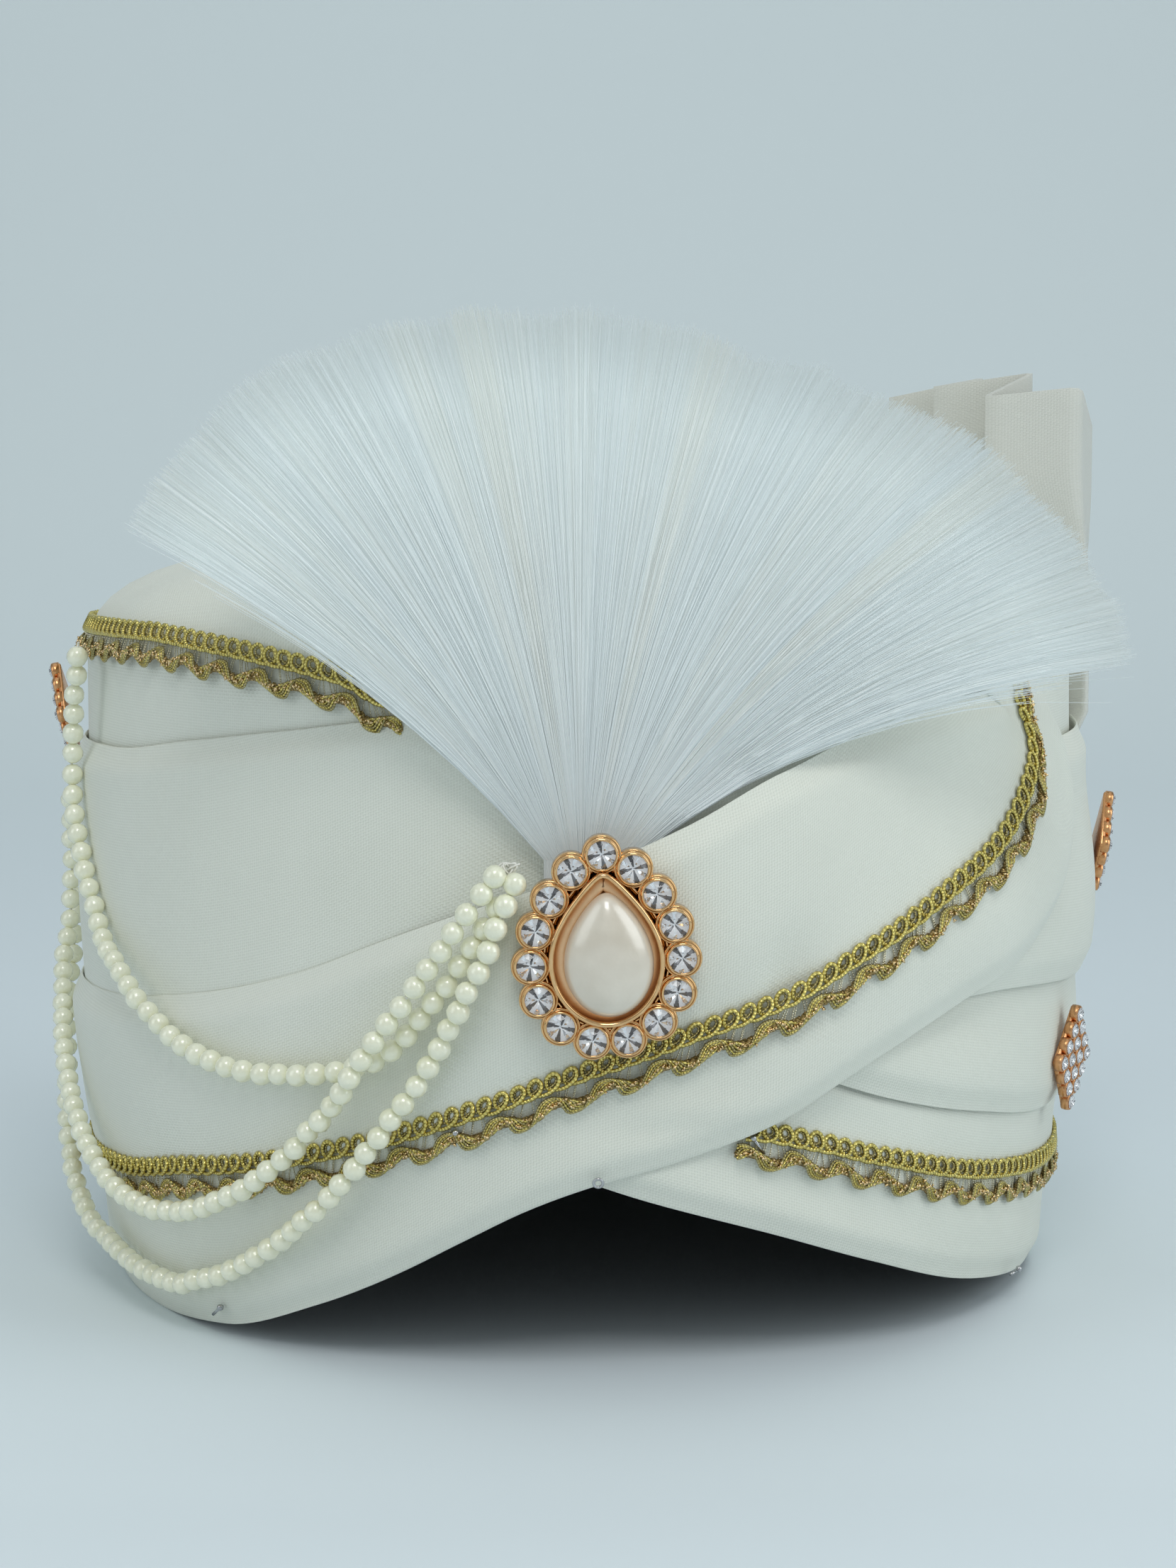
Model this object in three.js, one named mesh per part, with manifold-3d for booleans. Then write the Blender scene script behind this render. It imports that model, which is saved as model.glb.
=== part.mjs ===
// A ready-tied wedding turban: a stiff hollow base, a cloth crown and wound wraps, gold lace,
// a bristle plume behind a drop brooch, three pearl strings, three stone clips and a pleated fan.
// Millimetres, +Z up. The front faces -Y and the turban stands on its rim at z = 0.
import * as THREE from "three";
import { mergeVertices } from "three/addons/utils/BufferGeometryUtils.js";
import Module from "manifold-3d";

const wasm = await Module();
wasm.setup();

// Driving dimensions of the crown: an oval wall that flares upwards, then a squarish dome
const RIM_HALF_WIDTH = 90;
const OVAL_EXTRA_DEPTH = 12;
const FLARE = 6;
const FLARE_HEIGHT = 90;
const WALL_HEIGHT = 112;
const DOME_RISE = 26;
const DOME_ARC = 110;
const DOME_SQUARENESS = 3.2;

// The right side is drawn in a little, most of all at the rim
const RIGHT_TRIM = 3.5;
const RIM_TRIM = 2;

// Walls and clearances
const GAP = 0.4;
const BASE_WALL = 2;
const CROWN_WALL = 1.4;
const WRAP_WALL = 1.8;
const WRAP_STEP = 18;
const FACET_SLACK = 0.35;
const BASE_LIFT = 1;
const CROWN_LIFT = 2;

// Gold lace
const LACE_WIDTH = 8.2;
const LACE_THICKNESS = 1.2;
const LACE_SEAT = 0.7;

// Pearl strings
const PEARL_RADIUS = 1.7;
const PEARL_SIDES = 8;
const STRING_STEPS = 26;

// Drop brooch, measured on its face
const BROOCH_CENTRE = { turn: 1.5, height: 75, back: 9 };
const BROOCH_TILT = 2;
const BROOCH_ROLL = 2.8;
const STONE_COUNT = 15;
const STONE_RADIUS = 2.35;
const STONE_HEIGHT = 1.7;
const STONE_TABLE = 0.62;
const CUP_WALL = 0.5;
const CUP_HEIGHT = 3.2;
const CUP_FLOOR = 1.6;
const JEWEL_SIDES = 8;
const STONE_RING = { halfWidth: 12.2, halfHeight: 15.1, narrowing: 0.1, point: 0.03 };
const PLATE_THICKNESS = 1.2;
const BEZEL = { halfWidth: 8.9, halfHeight: 11.6, narrowing: 0, point: 0.08, wall: 0.8, height: 4 };
const DROP_PEARL = { halfWidth: 7.1, halfHeight: 9.6, narrowing: 0.03, point: 0.05, height: 5.4 };
const DROP_PEARL_SHIFT = { x: 0.35, y: -0.9 };

// Stone clips: a rhombus field of four by four stones
const CLIP_ROW = 4;
const CLIP_HALF_WIDTH = 8;
const CLIP_HALF_HEIGHT = 10.8;
const CLIP_PLATE = 1.2;
const CLIP_STONE = { radius: 1.6, table: 0.95, height: 1.3 };

// Plume of straight bristles
const PLUME_LOCKS = 15;
const PLUME_HEAD = { halfWidth: 7, bottom: 77, top: 88, thickness: 2.4 };
const PLUME_LENGTH = 86;
const PLUME_TIP_THICKNESS = 5;
const PLUME_NOTCH = 0.93;
const PLUME_FRONT = 113.4;
const PLUME_LEAN = 0.0012;
const PLUME_START_ANGLE = { left: -40, right: 53 };
const PLUME_END_ANGLE = { left: -62, right: 84 };

// Pleated fan
const FAN_THICKNESS = 1.1;
const FAN_FOOT_HEIGHT = 103;
const FAN_LEVELS = [0, 0.45, 1];

const DEGREES = Math.PI / 180;

// A table: one row for each section, with named columns
function table(names, rows) {
  return rows.map((row) => Object.fromEntries(names.map((name, i) => [name, row[i]])));
}

// The lower band starts at the front, passes right, back and left, crosses the front
// and ends over the right shoulder. seat is how far its inner face stands off the crown.
const MAIN_WRAP = table(
  ["turn", "low", "high", "lean", "seatLow", "seatHigh", "puff", "lace"],
  [
    [-6, 38, 56, 0, 0.4, 0.4, 0, 0.5],
    [4, 32, 56, 0, 0.6, 0.6, 0, 0.5],
    [19, 24.3, 54, 0, 0.6, 0.6, 0, 0.51],
    [32, 16.9, 49, 0, 0.4, 0.4, 0, 0.51],
    [48, 8.8, 44, 0, 0.4, 0.4, 0, 0.51],
    [70, 2.6, 41, 0, 0.4, 0.4, 0, 0.52],
    [90, 0, 41, 0, 0.4, 0.4, 0, 0.53],
    [135, 0, 43, 0, 0.4, 0.4, 0, 0.51],
    [180, 0, 46, 0, 0.4, 0.4, 0, 0.48],
    [215, 0, 50, 0, 0.4, 0.8, 0, 0.44],
    [240, 0, 54, 0, 0.4, 2.8, 0, 0.4],
    [270, 0, 55, 0, 0.4, 2.8, 0, 0.39],
    [300, 0, 57.3, 0, 0.4, 2.8, 0.3, 0.42],
    [316, 2, 61, 0, 0.4, 2.8, 0.5, 0.46],
    [330, 9.5, 66.8, 0, 0.4, 2.8, 0.6, 0.43],
    [340, 17, 73.5, 0, 0.4, 3, 0.6, 0.39],
    [348, 24.5, 78.8, 0, 1.8, 4.2, 0.5, 0.36],
    [354, 30, 82.5, 0, 2.7, 6, 0.3, 0.345],
    [360, 34, 86.5, 0, 2.7, 6.5, 0, 0.345],
    [369, 38.3, 93.5, 0, 2.8, 6.3, 0.3, 0.35],
    [378, 44.1, 101.4, 0, 4.7, 5.2, 0.8, 0.335],
    [387, 52.7, 106.1, -2, 5.9, 4.2, 1.2, 0.34],
    [398.6, 61.4, 109.6, -6, 6.4, 3.4, 1.5, 0.39],
    [407, 66, 110.8, -10, 6.4, 3, 1.5, 0.45],
    [414.7, 74, 111.8, -12.2, 6.2, 2.6, 1.2, 0.54],
    [419.4, 81, 112.2, -14.9, 5, 2.2, 0.8, 0.6],
    [422.3, 90.5, 112.8, -18.6, 3.8, 1.9, 0.5, 0.63],
    [421.2, 99.5, 114, -19, 3.2, 1.5, 0.3, 0.6],
    [417.8, 107, 119, -16.5, 2.4, 1.1, 0.2, 0.55],
    [415, 114, 128, -14, 1.4, 0.8, 0.1, 0.52],
    [414.5, 124, 142, -12, 0.7, 0.6, 0, 0.5],
    [418, 133, 155, -10, 0.6, 0.6, 0, 0.5],
    [427, 138, 160, -7, 0.6, 0.6, 0, 0.5],
    [440, 139, 159, -4, 0.6, 0.6, 0, 0.5],
  ],
);
const LACE_FROM_ROW = 2;

// The pleat that shows between the lower and the upper band, on the right and the back
const MIDDLE_WRAP = table(
  ["turn", "low", "high", "lean", "seatLow", "seatHigh", "puff"],
  [
    [21, 52, 74, 0, 2.7, 0.5, 0],
    [32, 45.6, 74, 0, 3, 0.5, 0],
    [45, 40.4, 74, 0, 3, 0.5, 0],
    [65, 35.4, 74, 0, 2.7, 0.5, 0],
    [90, 35, 74, 0, 2.7, 0.5, 0],
    [135, 37, 74, 0, 2.7, 0.5, 0],
    [180, 42, 73, 0, 2.7, 0.5, 0],
    [200, 48, 72, 0, 2.3, 0.5, 0],
    [213, 59, 70, 0, 0.5, 0.5, 0],
  ],
);

// The upper band runs from the right front round the back to the left, and ends at the plume
const UPPER_WRAP = table(
  ["turn", "low", "high", "lean", "seatLow", "seatHigh", "puff"],
  [
    [30, 61, 100, 0, 3.7, 0.5, 0],
    [45, 61.2, 102, 0, 3.7, 0.5, 0.4],
    [70, 58, 102.3, 0, 3.7, 0.5, 0.6],
    [100, 57, 102.5, 0, 3.7, 0.5, 0.6],
    [140, 58, 102.5, 0, 3.7, 0.5, 0.6],
    [180, 61, 104, 0, 3.6, 0.5, 0.5],
    [205, 60.5, 104, 0, 3.7, 0.5, 0.4],
    [222, 57, 103, 0, 2, 0.5, 0.2],
    [234, 53, 102, 0, 0.5, 0.5, 0],
    [250, 50, 101, 0, 0.4, 0.5, 0],
    [270, 48, 100.5, 0, 0.4, 0.5, 0],
    [299, 48, 101, 0, 0.4, 0.5, 0],
    [315, 50, 104, 0, 0.4, 0.5, 0],
    [329, 55, 107, 0, 0.4, 0.5, 0],
    [343, 64, 109.7, 0, 0.4, 0.5, 0],
    [354, 71, 108, 0, 0.4, 0.5, 0],
    [365, 79, 102, 0, 0.4, 0.5, 0],
    [374, 84, 101, 0, 0.4, 0.5, 0],
    [381, 88, 104.5, 0, 0.4, 0.5, 0],
    [388, 94, 108.5, 0, 0.4, 0.5, 0],
  ],
);

// The lace round the crown, from beside the plume over the left shoulder to the back
const CROWN_LACE = table(
  ["turn", "height"],
  [
    [336, 113],
    [327, 116.6],
    [318, 119.6],
    [306, 122.2],
    [290, 122.8],
    [255, 123],
    [215, 124],
    [180, 125],
    [150, 126],
  ],
);

// Each string hangs from the brooch to the left clip. lift is how far its middle is from the crown.
const PEARL_STRINGS = {
  pearl_string_upper: table(
    ["turn", "height", "lift"],
    [
      [-11.2, 71, 9.8],
      [-13, 66.6, 9.3],
      [-15.5, 61.2, 8.7],
      [-18.8, 55.8, 8.2],
      [-22.8, 53, 7.8],
      [-29, 51.2, 7.6],
      [-35.7, 51, 7.6],
      [-42.5, 53.8, 7.5],
      [-49, 59.2, 7.2],
      [-54, 64.2, 6.4],
      [-58.5, 67.8, 5.2],
      [-63, 76, 4.8],
      [-66.7, 85.4, 4.8],
      [-68.8, 95.2, 4.8],
      [-67.4, 105.5, 4.8],
      [-65.8, 113, 4.9],
      [-64.8, 119.5, 5.2],
    ],
  ),
  pearl_string_middle: table(
    ["turn", "height", "lift"],
    [
      [-9.6, 81.4, 12.6],
      [-11.8, 75.7, 12.2],
      [-14.1, 70, 11.7],
      [-16.3, 64.3, 11.6],
      [-18.7, 58.7, 11.9],
      [-21, 52.6, 12],
      [-23.1, 48, 10],
      [-26.5, 41.7, 8.9],
      [-31.5, 34.3, 8.8],
      [-38.2, 27.5, 8.4],
      [-47, 23.1, 8],
      [-56.5, 24.2, 8.2],
      [-64.8, 29.8, 8.2],
      [-71, 36, 7.8],
      [-77, 44, 7.3],
      [-82, 52, 6.9],
      [-85.5, 59, 6.2],
      [-87, 66, 5.1],
      [-87.5, 76, 4.6],
      [-87.5, 90, 4.6],
    ],
  ),
  pearl_string_lower: table(
    ["turn", "height", "lift"],
    [
      [-7, 80.6, 12.4],
      [-8.6, 73, 12.4],
      [-9.9, 68.4, 12.2],
      [-11.4, 63.4, 10.9],
      [-13.1, 57.8, 9.4],
      [-15.3, 51.8, 9],
      [-18.6, 43.9, 8.9],
      [-22.4, 35.8, 8.4],
      [-27, 27.9, 7.8],
      [-30.2, 23.5, 6.5],
      [-35.5, 17.7, 5.5],
      [-41.4, 12.6, 5.2],
      [-48.8, 9.1, 5.2],
      [-57.2, 8.9, 5.2],
      [-64.5, 10.4, 5.8],
      [-71, 13.2, 7.2],
      [-77, 19.5, 8.3],
      [-82, 29, 8.3],
      [-86, 40, 7.6],
      [-89, 50, 7],
      [-91, 58, 6.2],
      [-92, 66, 5.1],
      [-92.5, 76, 4.6],
      [-92, 90, 4.6],
    ],
  ),
};

// Where the stone clips sit, how far their backs stand off the crown and how they lean
const CLIPS = table(
  ["name", "turn", "height", "back", "tilt"],
  [
    ["clip_left", -87, 104, 4.9, 12],
    ["clip_right_upper", 86, 79.4, 6.2, -5],
    ["clip_right_lower", 64.8, 44.6, 5.6, 0],
  ],
);

// The fan's folds, from the front one at the right side round to the back: where each stands
// on the crown, how far off it, and where its top end is
const FAN_FOLDS = table(
  ["turn", "stand", "headX", "headY", "headZ"],
  [
    [99, 7.4, 99.4, 15, 159],
    [92.5, 5.6, 95.5, 4, 166.4],
    [94.5, 2.6, 77.4, 6, 164.6],
    [99.5, 3.9, 88.2, 15, 169.6],
    [102.5, 2, 68.6, 19, 166.8],
    [107, 3.9, 80, 28, 169],
    [110, 2, 61, 32, 165],
    [114.5, 3.9, 72, 41, 164.6],
    [118, 2, 55, 45, 159],
  ],
);

const COLOURS = {
  base: { color: 0x2b2a28, roughness: 0.95, metalness: 0 },
  cloth: { color: 0xe9e8dc, roughness: 0.7, metalness: 0 },
  lace: { color: 0xa08a3c, roughness: 0.4, metalness: 0.8 },
  plume: { color: 0xeef3f5, roughness: 0.5, metalness: 0 },
  gilt: { color: 0xd29a5c, roughness: 0.25, metalness: 1 },
  copper: { color: 0xb96a44, roughness: 0.35, metalness: 1 },
  stone: { color: 0xe8eef2, roughness: 0.05, metalness: 0 },
  pearl: { color: 0xeceacb, roughness: 0.3, metalness: 0 },
  dropPearl: { color: 0xe3d3c2, roughness: 0.2, metalness: 0 },
};

const turban = new THREE.Group();

function add(name, geometry, finish) {
  const mesh = new THREE.Mesh(geometry, new THREE.MeshStandardMaterial(COLOURS[finish]));
  mesh.name = name;
  turban.add(mesh);
  return mesh;
}

// A smooth curve through one column of a table, with no overshoot between its rows
function column(rows, name) {
  const values = rows.map((row) => row[name]);
  const last = values.length - 1;
  const slopes = values.map((value, i) => {
    const before = i > 0 ? value - values[i - 1] : values[1] - values[0];
    const after = i < last ? values[i + 1] - value : before;
    return before * after > 0 ? (2 * before * after) / (before + after) : 0;
  });
  return (place) => {
    const i = Math.min(Math.floor(place), last - 1);
    const t = place - i;
    const s = t * t * (3 - 2 * t);
    const bow = t * (1 - t) * ((1 - t) * slopes[i] - t * slopes[i + 1]);
    return values[i] * (1 - s) + values[i + 1] * s + bow;
  };
}

function columns(rows) {
  const found = {};
  for (const name of Object.keys(rows[0])) found[name] = column(rows, name);
  return found;
}

function smoothstep(from, to, value) {
  const t = Math.min(Math.max((value - from) / (to - from), 0), 1);
  return t * t * (3 - 2 * t);
}

// A point of the crown's outside. turn is in degrees, 0 at the front and 90 at the right;
// height runs up the wall and on over the dome to its middle.
function crownSurface(turn, height) {
  const arc = Math.min(Math.max(height - WALL_HEIGHT, 0) / DOME_ARC, 1) * (Math.PI / 2);
  const reach = Math.pow(Math.cos(arc), 2 / DOME_SQUARENESS);
  const flare = FLARE * Math.sin((Math.PI / 2) * Math.min(Math.max(height, 0) / FLARE_HEIGHT, 1));
  const halfWidth = (RIM_HALF_WIDTH + flare) * reach;
  const halfDepth = (RIM_HALF_WIDTH + OVAL_EXTRA_DEPTH + flare) * reach;
  const level = Math.min(height, WALL_HEIGHT) + DOME_RISE * Math.pow(Math.sin(arc), 2 / DOME_SQUARENESS);
  const angle = turn * DEGREES;
  const trim = RIGHT_TRIM + RIM_TRIM * (1 - Math.min(Math.max(height, 0) / FLARE_HEIGHT, 1));
  const drawnIn = trim * reach * Math.pow(Math.max(Math.sin(angle), 0), 2);
  return new THREE.Vector3(halfWidth * Math.sin(angle) - drawnIn, -halfDepth * Math.cos(angle), level);
}

// The crown's outward direction at a point
function crownNormal(turn, height) {
  const nudge = 0.5;
  const top = WALL_HEIGHT + DOME_ARC - 2 * nudge;
  const h = Math.min(height, top);
  const along = crownSurface(turn + nudge, h).sub(crownSurface(turn - nudge, h));
  const up = crownSurface(turn, h + nudge).sub(crownSurface(turn, h - nudge));
  return along.cross(up).normalize();
}

function crownPoint(turn, height, offset) {
  return crownSurface(turn, height).addScaledVector(crownNormal(turn, height), offset);
}

// A closed geometry from points and triangles: shared points are merged, flat slivers
// dropped and the faces turned outwards
function closedGeometry(points, triangles) {
  const positions = new Float32Array(points.flatMap((p) => [p.x, p.y, p.z]));
  const loose = new THREE.BufferGeometry();
  loose.setAttribute("position", new THREE.BufferAttribute(positions, 3));
  loose.setIndex(triangles);
  return weld(loose);
}

function weld(source) {
  const bare = source.clone();
  bare.deleteAttribute("normal");
  bare.deleteAttribute("uv");
  const merged = mergeVertices(bare, 1e-3);
  const place = merged.getAttribute("position");
  const corner = (i) => new THREE.Vector3().fromBufferAttribute(place, i);
  const kept = [];
  let volume = 0;
  for (let i = 0; i < merged.index.count; i += 3) {
    const [a, b, c] = [0, 1, 2].map((k) => merged.index.getX(i + k));
    if (a === b || b === c || a === c) continue;
    kept.push([a, b, c]);
    volume += corner(a).dot(corner(b).cross(corner(c)));
  }
  merged.setIndex(kept.flatMap(([a, b, c]) => (volume < 0 ? [a, c, b] : [a, b, c])));
  merged.computeVertexNormals();
  return merged;
}

// A closed wall between two grids of points. Rows run along it, and columns across it.
function wall(outer, inner, round = false) {
  const rows = outer.length;
  const width = outer[0].length;
  const points = [...outer.flat(), ...inner.flat()];
  const triangles = [];
  const at = (side, row, place) => (side * rows + (row % rows)) * width + place;
  const quad = (a, b, c, d) => triangles.push(a, b, c, a, c, d);
  const spans = round ? rows : rows - 1;
  for (let r = 0; r < spans; r++) {
    for (let c = 0; c < width - 1; c++) {
      quad(at(0, r, c), at(0, r + 1, c), at(0, r + 1, c + 1), at(0, r, c + 1));
      quad(at(1, r, c), at(1, r, c + 1), at(1, r + 1, c + 1), at(1, r + 1, c));
    }
    quad(at(1, r, 0), at(1, r + 1, 0), at(0, r + 1, 0), at(0, r, 0));
    quad(at(0, r, width - 1), at(0, r + 1, width - 1), at(1, r + 1, width - 1), at(1, r, width - 1));
  }
  if (!round) {
    for (let c = 0; c < width - 1; c++) {
      quad(at(0, 0, c), at(0, 0, c + 1), at(1, 0, c + 1), at(1, 0, c));
      quad(at(1, rows - 1, c), at(1, rows - 1, c + 1), at(0, rows - 1, c + 1), at(0, rows - 1, c));
    }
  }
  return closedGeometry(points, triangles);
}

// Solids for joining and cutting
function solid(geometry) {
  const welded = weld(geometry);
  return new wasm.Manifold(
    new wasm.Mesh({
      numProp: 3,
      vertProperties: welded.getAttribute("position").array,
      triVerts: new Uint32Array(welded.index.array),
    }),
  );
}

function geometryOf(made) {
  const mesh = made.getMesh();
  const geometry = new THREE.BufferGeometry();
  geometry.setAttribute("position", new THREE.BufferAttribute(mesh.vertProperties, 3));
  geometry.setIndex(new THREE.BufferAttribute(mesh.triVerts, 1));
  geometry.computeVertexNormals();
  return geometry;
}

function fuse(geometries) {
  return geometryOf(geometries.map(solid).reduce((all, next) => all.add(next)));
}

// Wraps: sections of a band, in even steps along it
const WRAP_COLUMNS = [0, 0.05, 0.28, 0.52, 0.76, 0.95, 1];
const EDGE_ROUNDING = 0.05;
const EDGE_SHARE = 0.5;

function wrapSections(rows, fromRow = 0) {
  const read = columns(rows);
  const middle = (place) => crownSurface(read.turn(place), (read.low(place) + read.high(place)) / 2);
  const places = [];
  for (let i = fromRow; i < rows.length - 1; i++) {
    const steps = Math.max(1, Math.round(middle(i).distanceTo(middle(i + 1)) / WRAP_STEP));
    for (let k = 0; k < steps; k++) places.push(i + k / steps);
  }
  places.push(rows.length - 1);
  return { read, places };
}

// Where a share of a wrap's width lies: its place on the crown and its inner and outer offsets
function acrossWrap(read, place, share) {
  const turn = read.turn(place) + read.lean(place) * share;
  const height = read.low(place) + (read.high(place) - read.low(place)) * share;
  const drop = smoothstep(0.18, 0.8, share);
  const stand = read.seatLow(place) + (read.seatHigh(place) - read.seatLow(place)) * drop;
  const seat = stand + FACET_SLACK;
  const edge = Math.min(share, 1 - share) / EDGE_ROUNDING;
  const body = WRAP_WALL * (EDGE_SHARE + (1 - EDGE_SHARE) * Math.min(edge, 1));
  return { turn, height, seat, face: seat + body + read.puff(place) * Math.sin(Math.PI * share) };
}

function wrapGeometry(rows) {
  const { read, places } = wrapSections(rows);
  const grid = (side) =>
    places.map((place) =>
      WRAP_COLUMNS.map((share) => {
        const spot = acrossWrap(read, place, share);
        const point = crownPoint(spot.turn, spot.height, spot[side]);
        return point.setZ(Math.max(point.z, 0));
      }),
    );
  return wall(grid("face"), grid("seat"));
}

// The rim's height, which the lower band sets in its first turn
function rimHeight(turn) {
  const { read, places } = wrapSections(MAIN_WRAP);
  const wanted = ((turn % 360) + 360) % 360;
  const next = places.findIndex((place) => read.turn(place) > wanted);
  const [a, b] = [places[next - 1], places[next]];
  const t = (wanted - read.turn(a)) / (read.turn(b) - read.turn(a));
  return read.low(a) + (read.low(b) - read.low(a)) * t;
}

// A hollow cap from the rim to the middle of the dome
const CAP_STEP = 10;
const DOME_LEVELS = [0.08, 0.2, 0.38, 0.7, 1];

function capGeometry(wallLevels, rimLift, outerOffset, innerOffset) {
  const ring = [];
  for (let turn = 0; turn < 360; turn += CAP_STEP) ring.push(turn);
  const heights = (turn) => {
    const rim = rimHeight(turn) + rimLift;
    return [
      ...wallLevels.map((level) => rim + (WALL_HEIGHT - rim) * level),
      ...DOME_LEVELS.map((level) => WALL_HEIGHT + DOME_ARC * level),
    ];
  };
  const grid = (offset) =>
    ring.map((turn) => heights(turn).map((height) => crownPoint(turn, height, offset)));
  const outer = grid(outerOffset);
  const inner = grid(innerOffset);
  for (const side of [outer, inner]) {
    const pole = side[0].at(-1).clone().setX(0).setY(0);
    side.forEach((line) => (line[line.length - 1] = pole.clone()));
  }
  return wall(outer, inner, true);
}

function buildCrown() {
  add("crown_cover", capGeometry([0, 0.5, 1], CROWN_LIFT, 0, -CROWN_WALL), "cloth");
  const outside = -CROWN_WALL - GAP;
  add("base_shell", capGeometry([0, 1], BASE_LIFT, outside, outside - BASE_WALL), "base");
}

function buildWraps() {
  add("wrap_main", wrapGeometry(MAIN_WRAP), "cloth");
  add("wrap_middle", wrapGeometry(MIDDLE_WRAP), "cloth");
  add("wrap_upper", wrapGeometry(UPPER_WRAP), "cloth");
}

// Lace: flat strips, one along the lower band and one round the crown
const LACE_COLUMNS = [-0.5, 0, 0.5];

function buildLace() {
  const { read, places } = wrapSections(MAIN_WRAP, LACE_FROM_ROW);
  const onWrap = (offset) =>
    places.map((place) => {
      const width = crownSurface(read.turn(place), read.low(place)).distanceTo(
        crownSurface(read.turn(place) + read.lean(place), read.high(place)),
      );
      const laceShare = Math.min(LACE_WIDTH / width, 1);
      return LACE_COLUMNS.map((across) => {
        const spot = acrossWrap(read, place, read.lace(place) + across * laceShare);
        return crownPoint(spot.turn, spot.height, spot.face + offset);
      });
    });
  add("lace_main", wall(onWrap(LACE_SEAT + LACE_THICKNESS), onWrap(LACE_SEAT)), "lace");

  const ring = columns(CROWN_LACE);
  const steps = (CROWN_LACE.length - 1) * 3;
  const onCrown = (offset) =>
    Array.from({ length: steps + 1 }, (_, i) => {
      const place = (i / steps) * (CROWN_LACE.length - 1);
      return LACE_COLUMNS.map((across) =>
        crownPoint(ring.turn(place), ring.height(place) + across * LACE_WIDTH, offset),
      );
    });
  add("lace_crown", wall(onCrown(LACE_SEAT + LACE_THICKNESS), onCrown(LACE_SEAT)), "lace");
}

// Pearl strings: a tube along each string
function buildPearlStrings() {
  const corners = Array.from({ length: PEARL_SIDES }, (_, i) => (2 * Math.PI * i) / PEARL_SIDES);
  const section = new THREE.Shape(
    corners.map((angle) => new THREE.Vector2(Math.cos(angle), Math.sin(angle)).multiplyScalar(PEARL_RADIUS)),
  );
  for (const [name, rows] of Object.entries(PEARL_STRINGS)) {
    const route = new THREE.CatmullRomCurve3(rows.map((r) => crownPoint(r.turn, r.height, r.lift)));
    const tube = new THREE.ExtrudeGeometry(section, {
      steps: STRING_STEPS,
      bevelEnabled: false,
      extrudePath: route,
    });
    add(name, weld(tube), "pearl");
  }
}

// Jewels are drawn face up, then turned to stand on the crown
function standOnCrown(mesh, turn, height, offset, tilt = 0) {
  const normal = crownNormal(turn, height);
  const side = new THREE.Vector3(0, 0, 1).cross(normal).normalize();
  const up = normal.clone().cross(side);
  mesh.quaternion.setFromRotationMatrix(new THREE.Matrix4().makeBasis(side, up, normal));
  mesh.rotateX(tilt * DEGREES);
  mesh.position.copy(crownPoint(turn, height, offset));
  return mesh;
}

// A drop outline: an oval that narrows towards its top and comes to a soft point there
function dropPoint(size, angle) {
  const up = Math.cos(angle);
  const width = size.halfWidth * (1 - size.narrowing * up - size.point * Math.pow(1 + up, 3));
  return new THREE.Vector2(width * Math.sin(angle), size.halfHeight * up);
}

function dropShape(size, points) {
  const angles = Array.from({ length: points }, (_, i) => (-2 * Math.PI * i) / points);
  return new THREE.Shape(angles.map((angle) => dropPoint(size, angle)));
}

function grow(size, by) {
  return { ...size, halfWidth: size.halfWidth + by, halfHeight: size.halfHeight + by };
}

function plate(shape, thickness) {
  return new THREE.ExtrudeGeometry(shape, { depth: thickness, bevelEnabled: false, curveSegments: 1 });
}

// A turned shape whose axis stands along +Z
function turned(profile, sides) {
  const points = profile.map(([radius, level]) => new THREE.Vector2(radius, level));
  return new THREE.LatheGeometry(points, sides).rotateX(Math.PI / 2);
}

// Even places round the drop that the stones are set on
function stonePlaces() {
  const fine = 720;
  const line = Array.from({ length: fine + 1 }, (_, i) => dropPoint(STONE_RING, (2 * Math.PI * i) / fine));
  const run = [0];
  for (let i = 1; i <= fine; i++) run.push(run[i - 1] + line[i].distanceTo(line[i - 1]));
  return Array.from({ length: STONE_COUNT }, (_, k) => {
    const wanted = (run[fine] * k) / STONE_COUNT;
    return line[run.findIndex((length) => length >= wanted)];
  });
}

function cupGeometry() {
  const inside = STONE_RADIUS + 0.22;
  const outside = inside + CUP_WALL;
  return turned(
    [
      [0, 0],
      [outside, 0],
      [outside, CUP_HEIGHT],
      [inside, CUP_HEIGHT],
      [inside, CUP_FLOOR],
      [0, CUP_FLOOR],
    ],
    JEWEL_SIDES,
  );
}

function cutStone() {
  const girdle = 0.5;
  return turned(
    [
      [0, 0],
      [STONE_RADIUS, 0],
      [STONE_RADIUS, girdle],
      [STONE_RADIUS * STONE_TABLE, STONE_HEIGHT],
      [0, STONE_HEIGHT],
    ],
    JEWEL_SIDES,
  );
}

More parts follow.
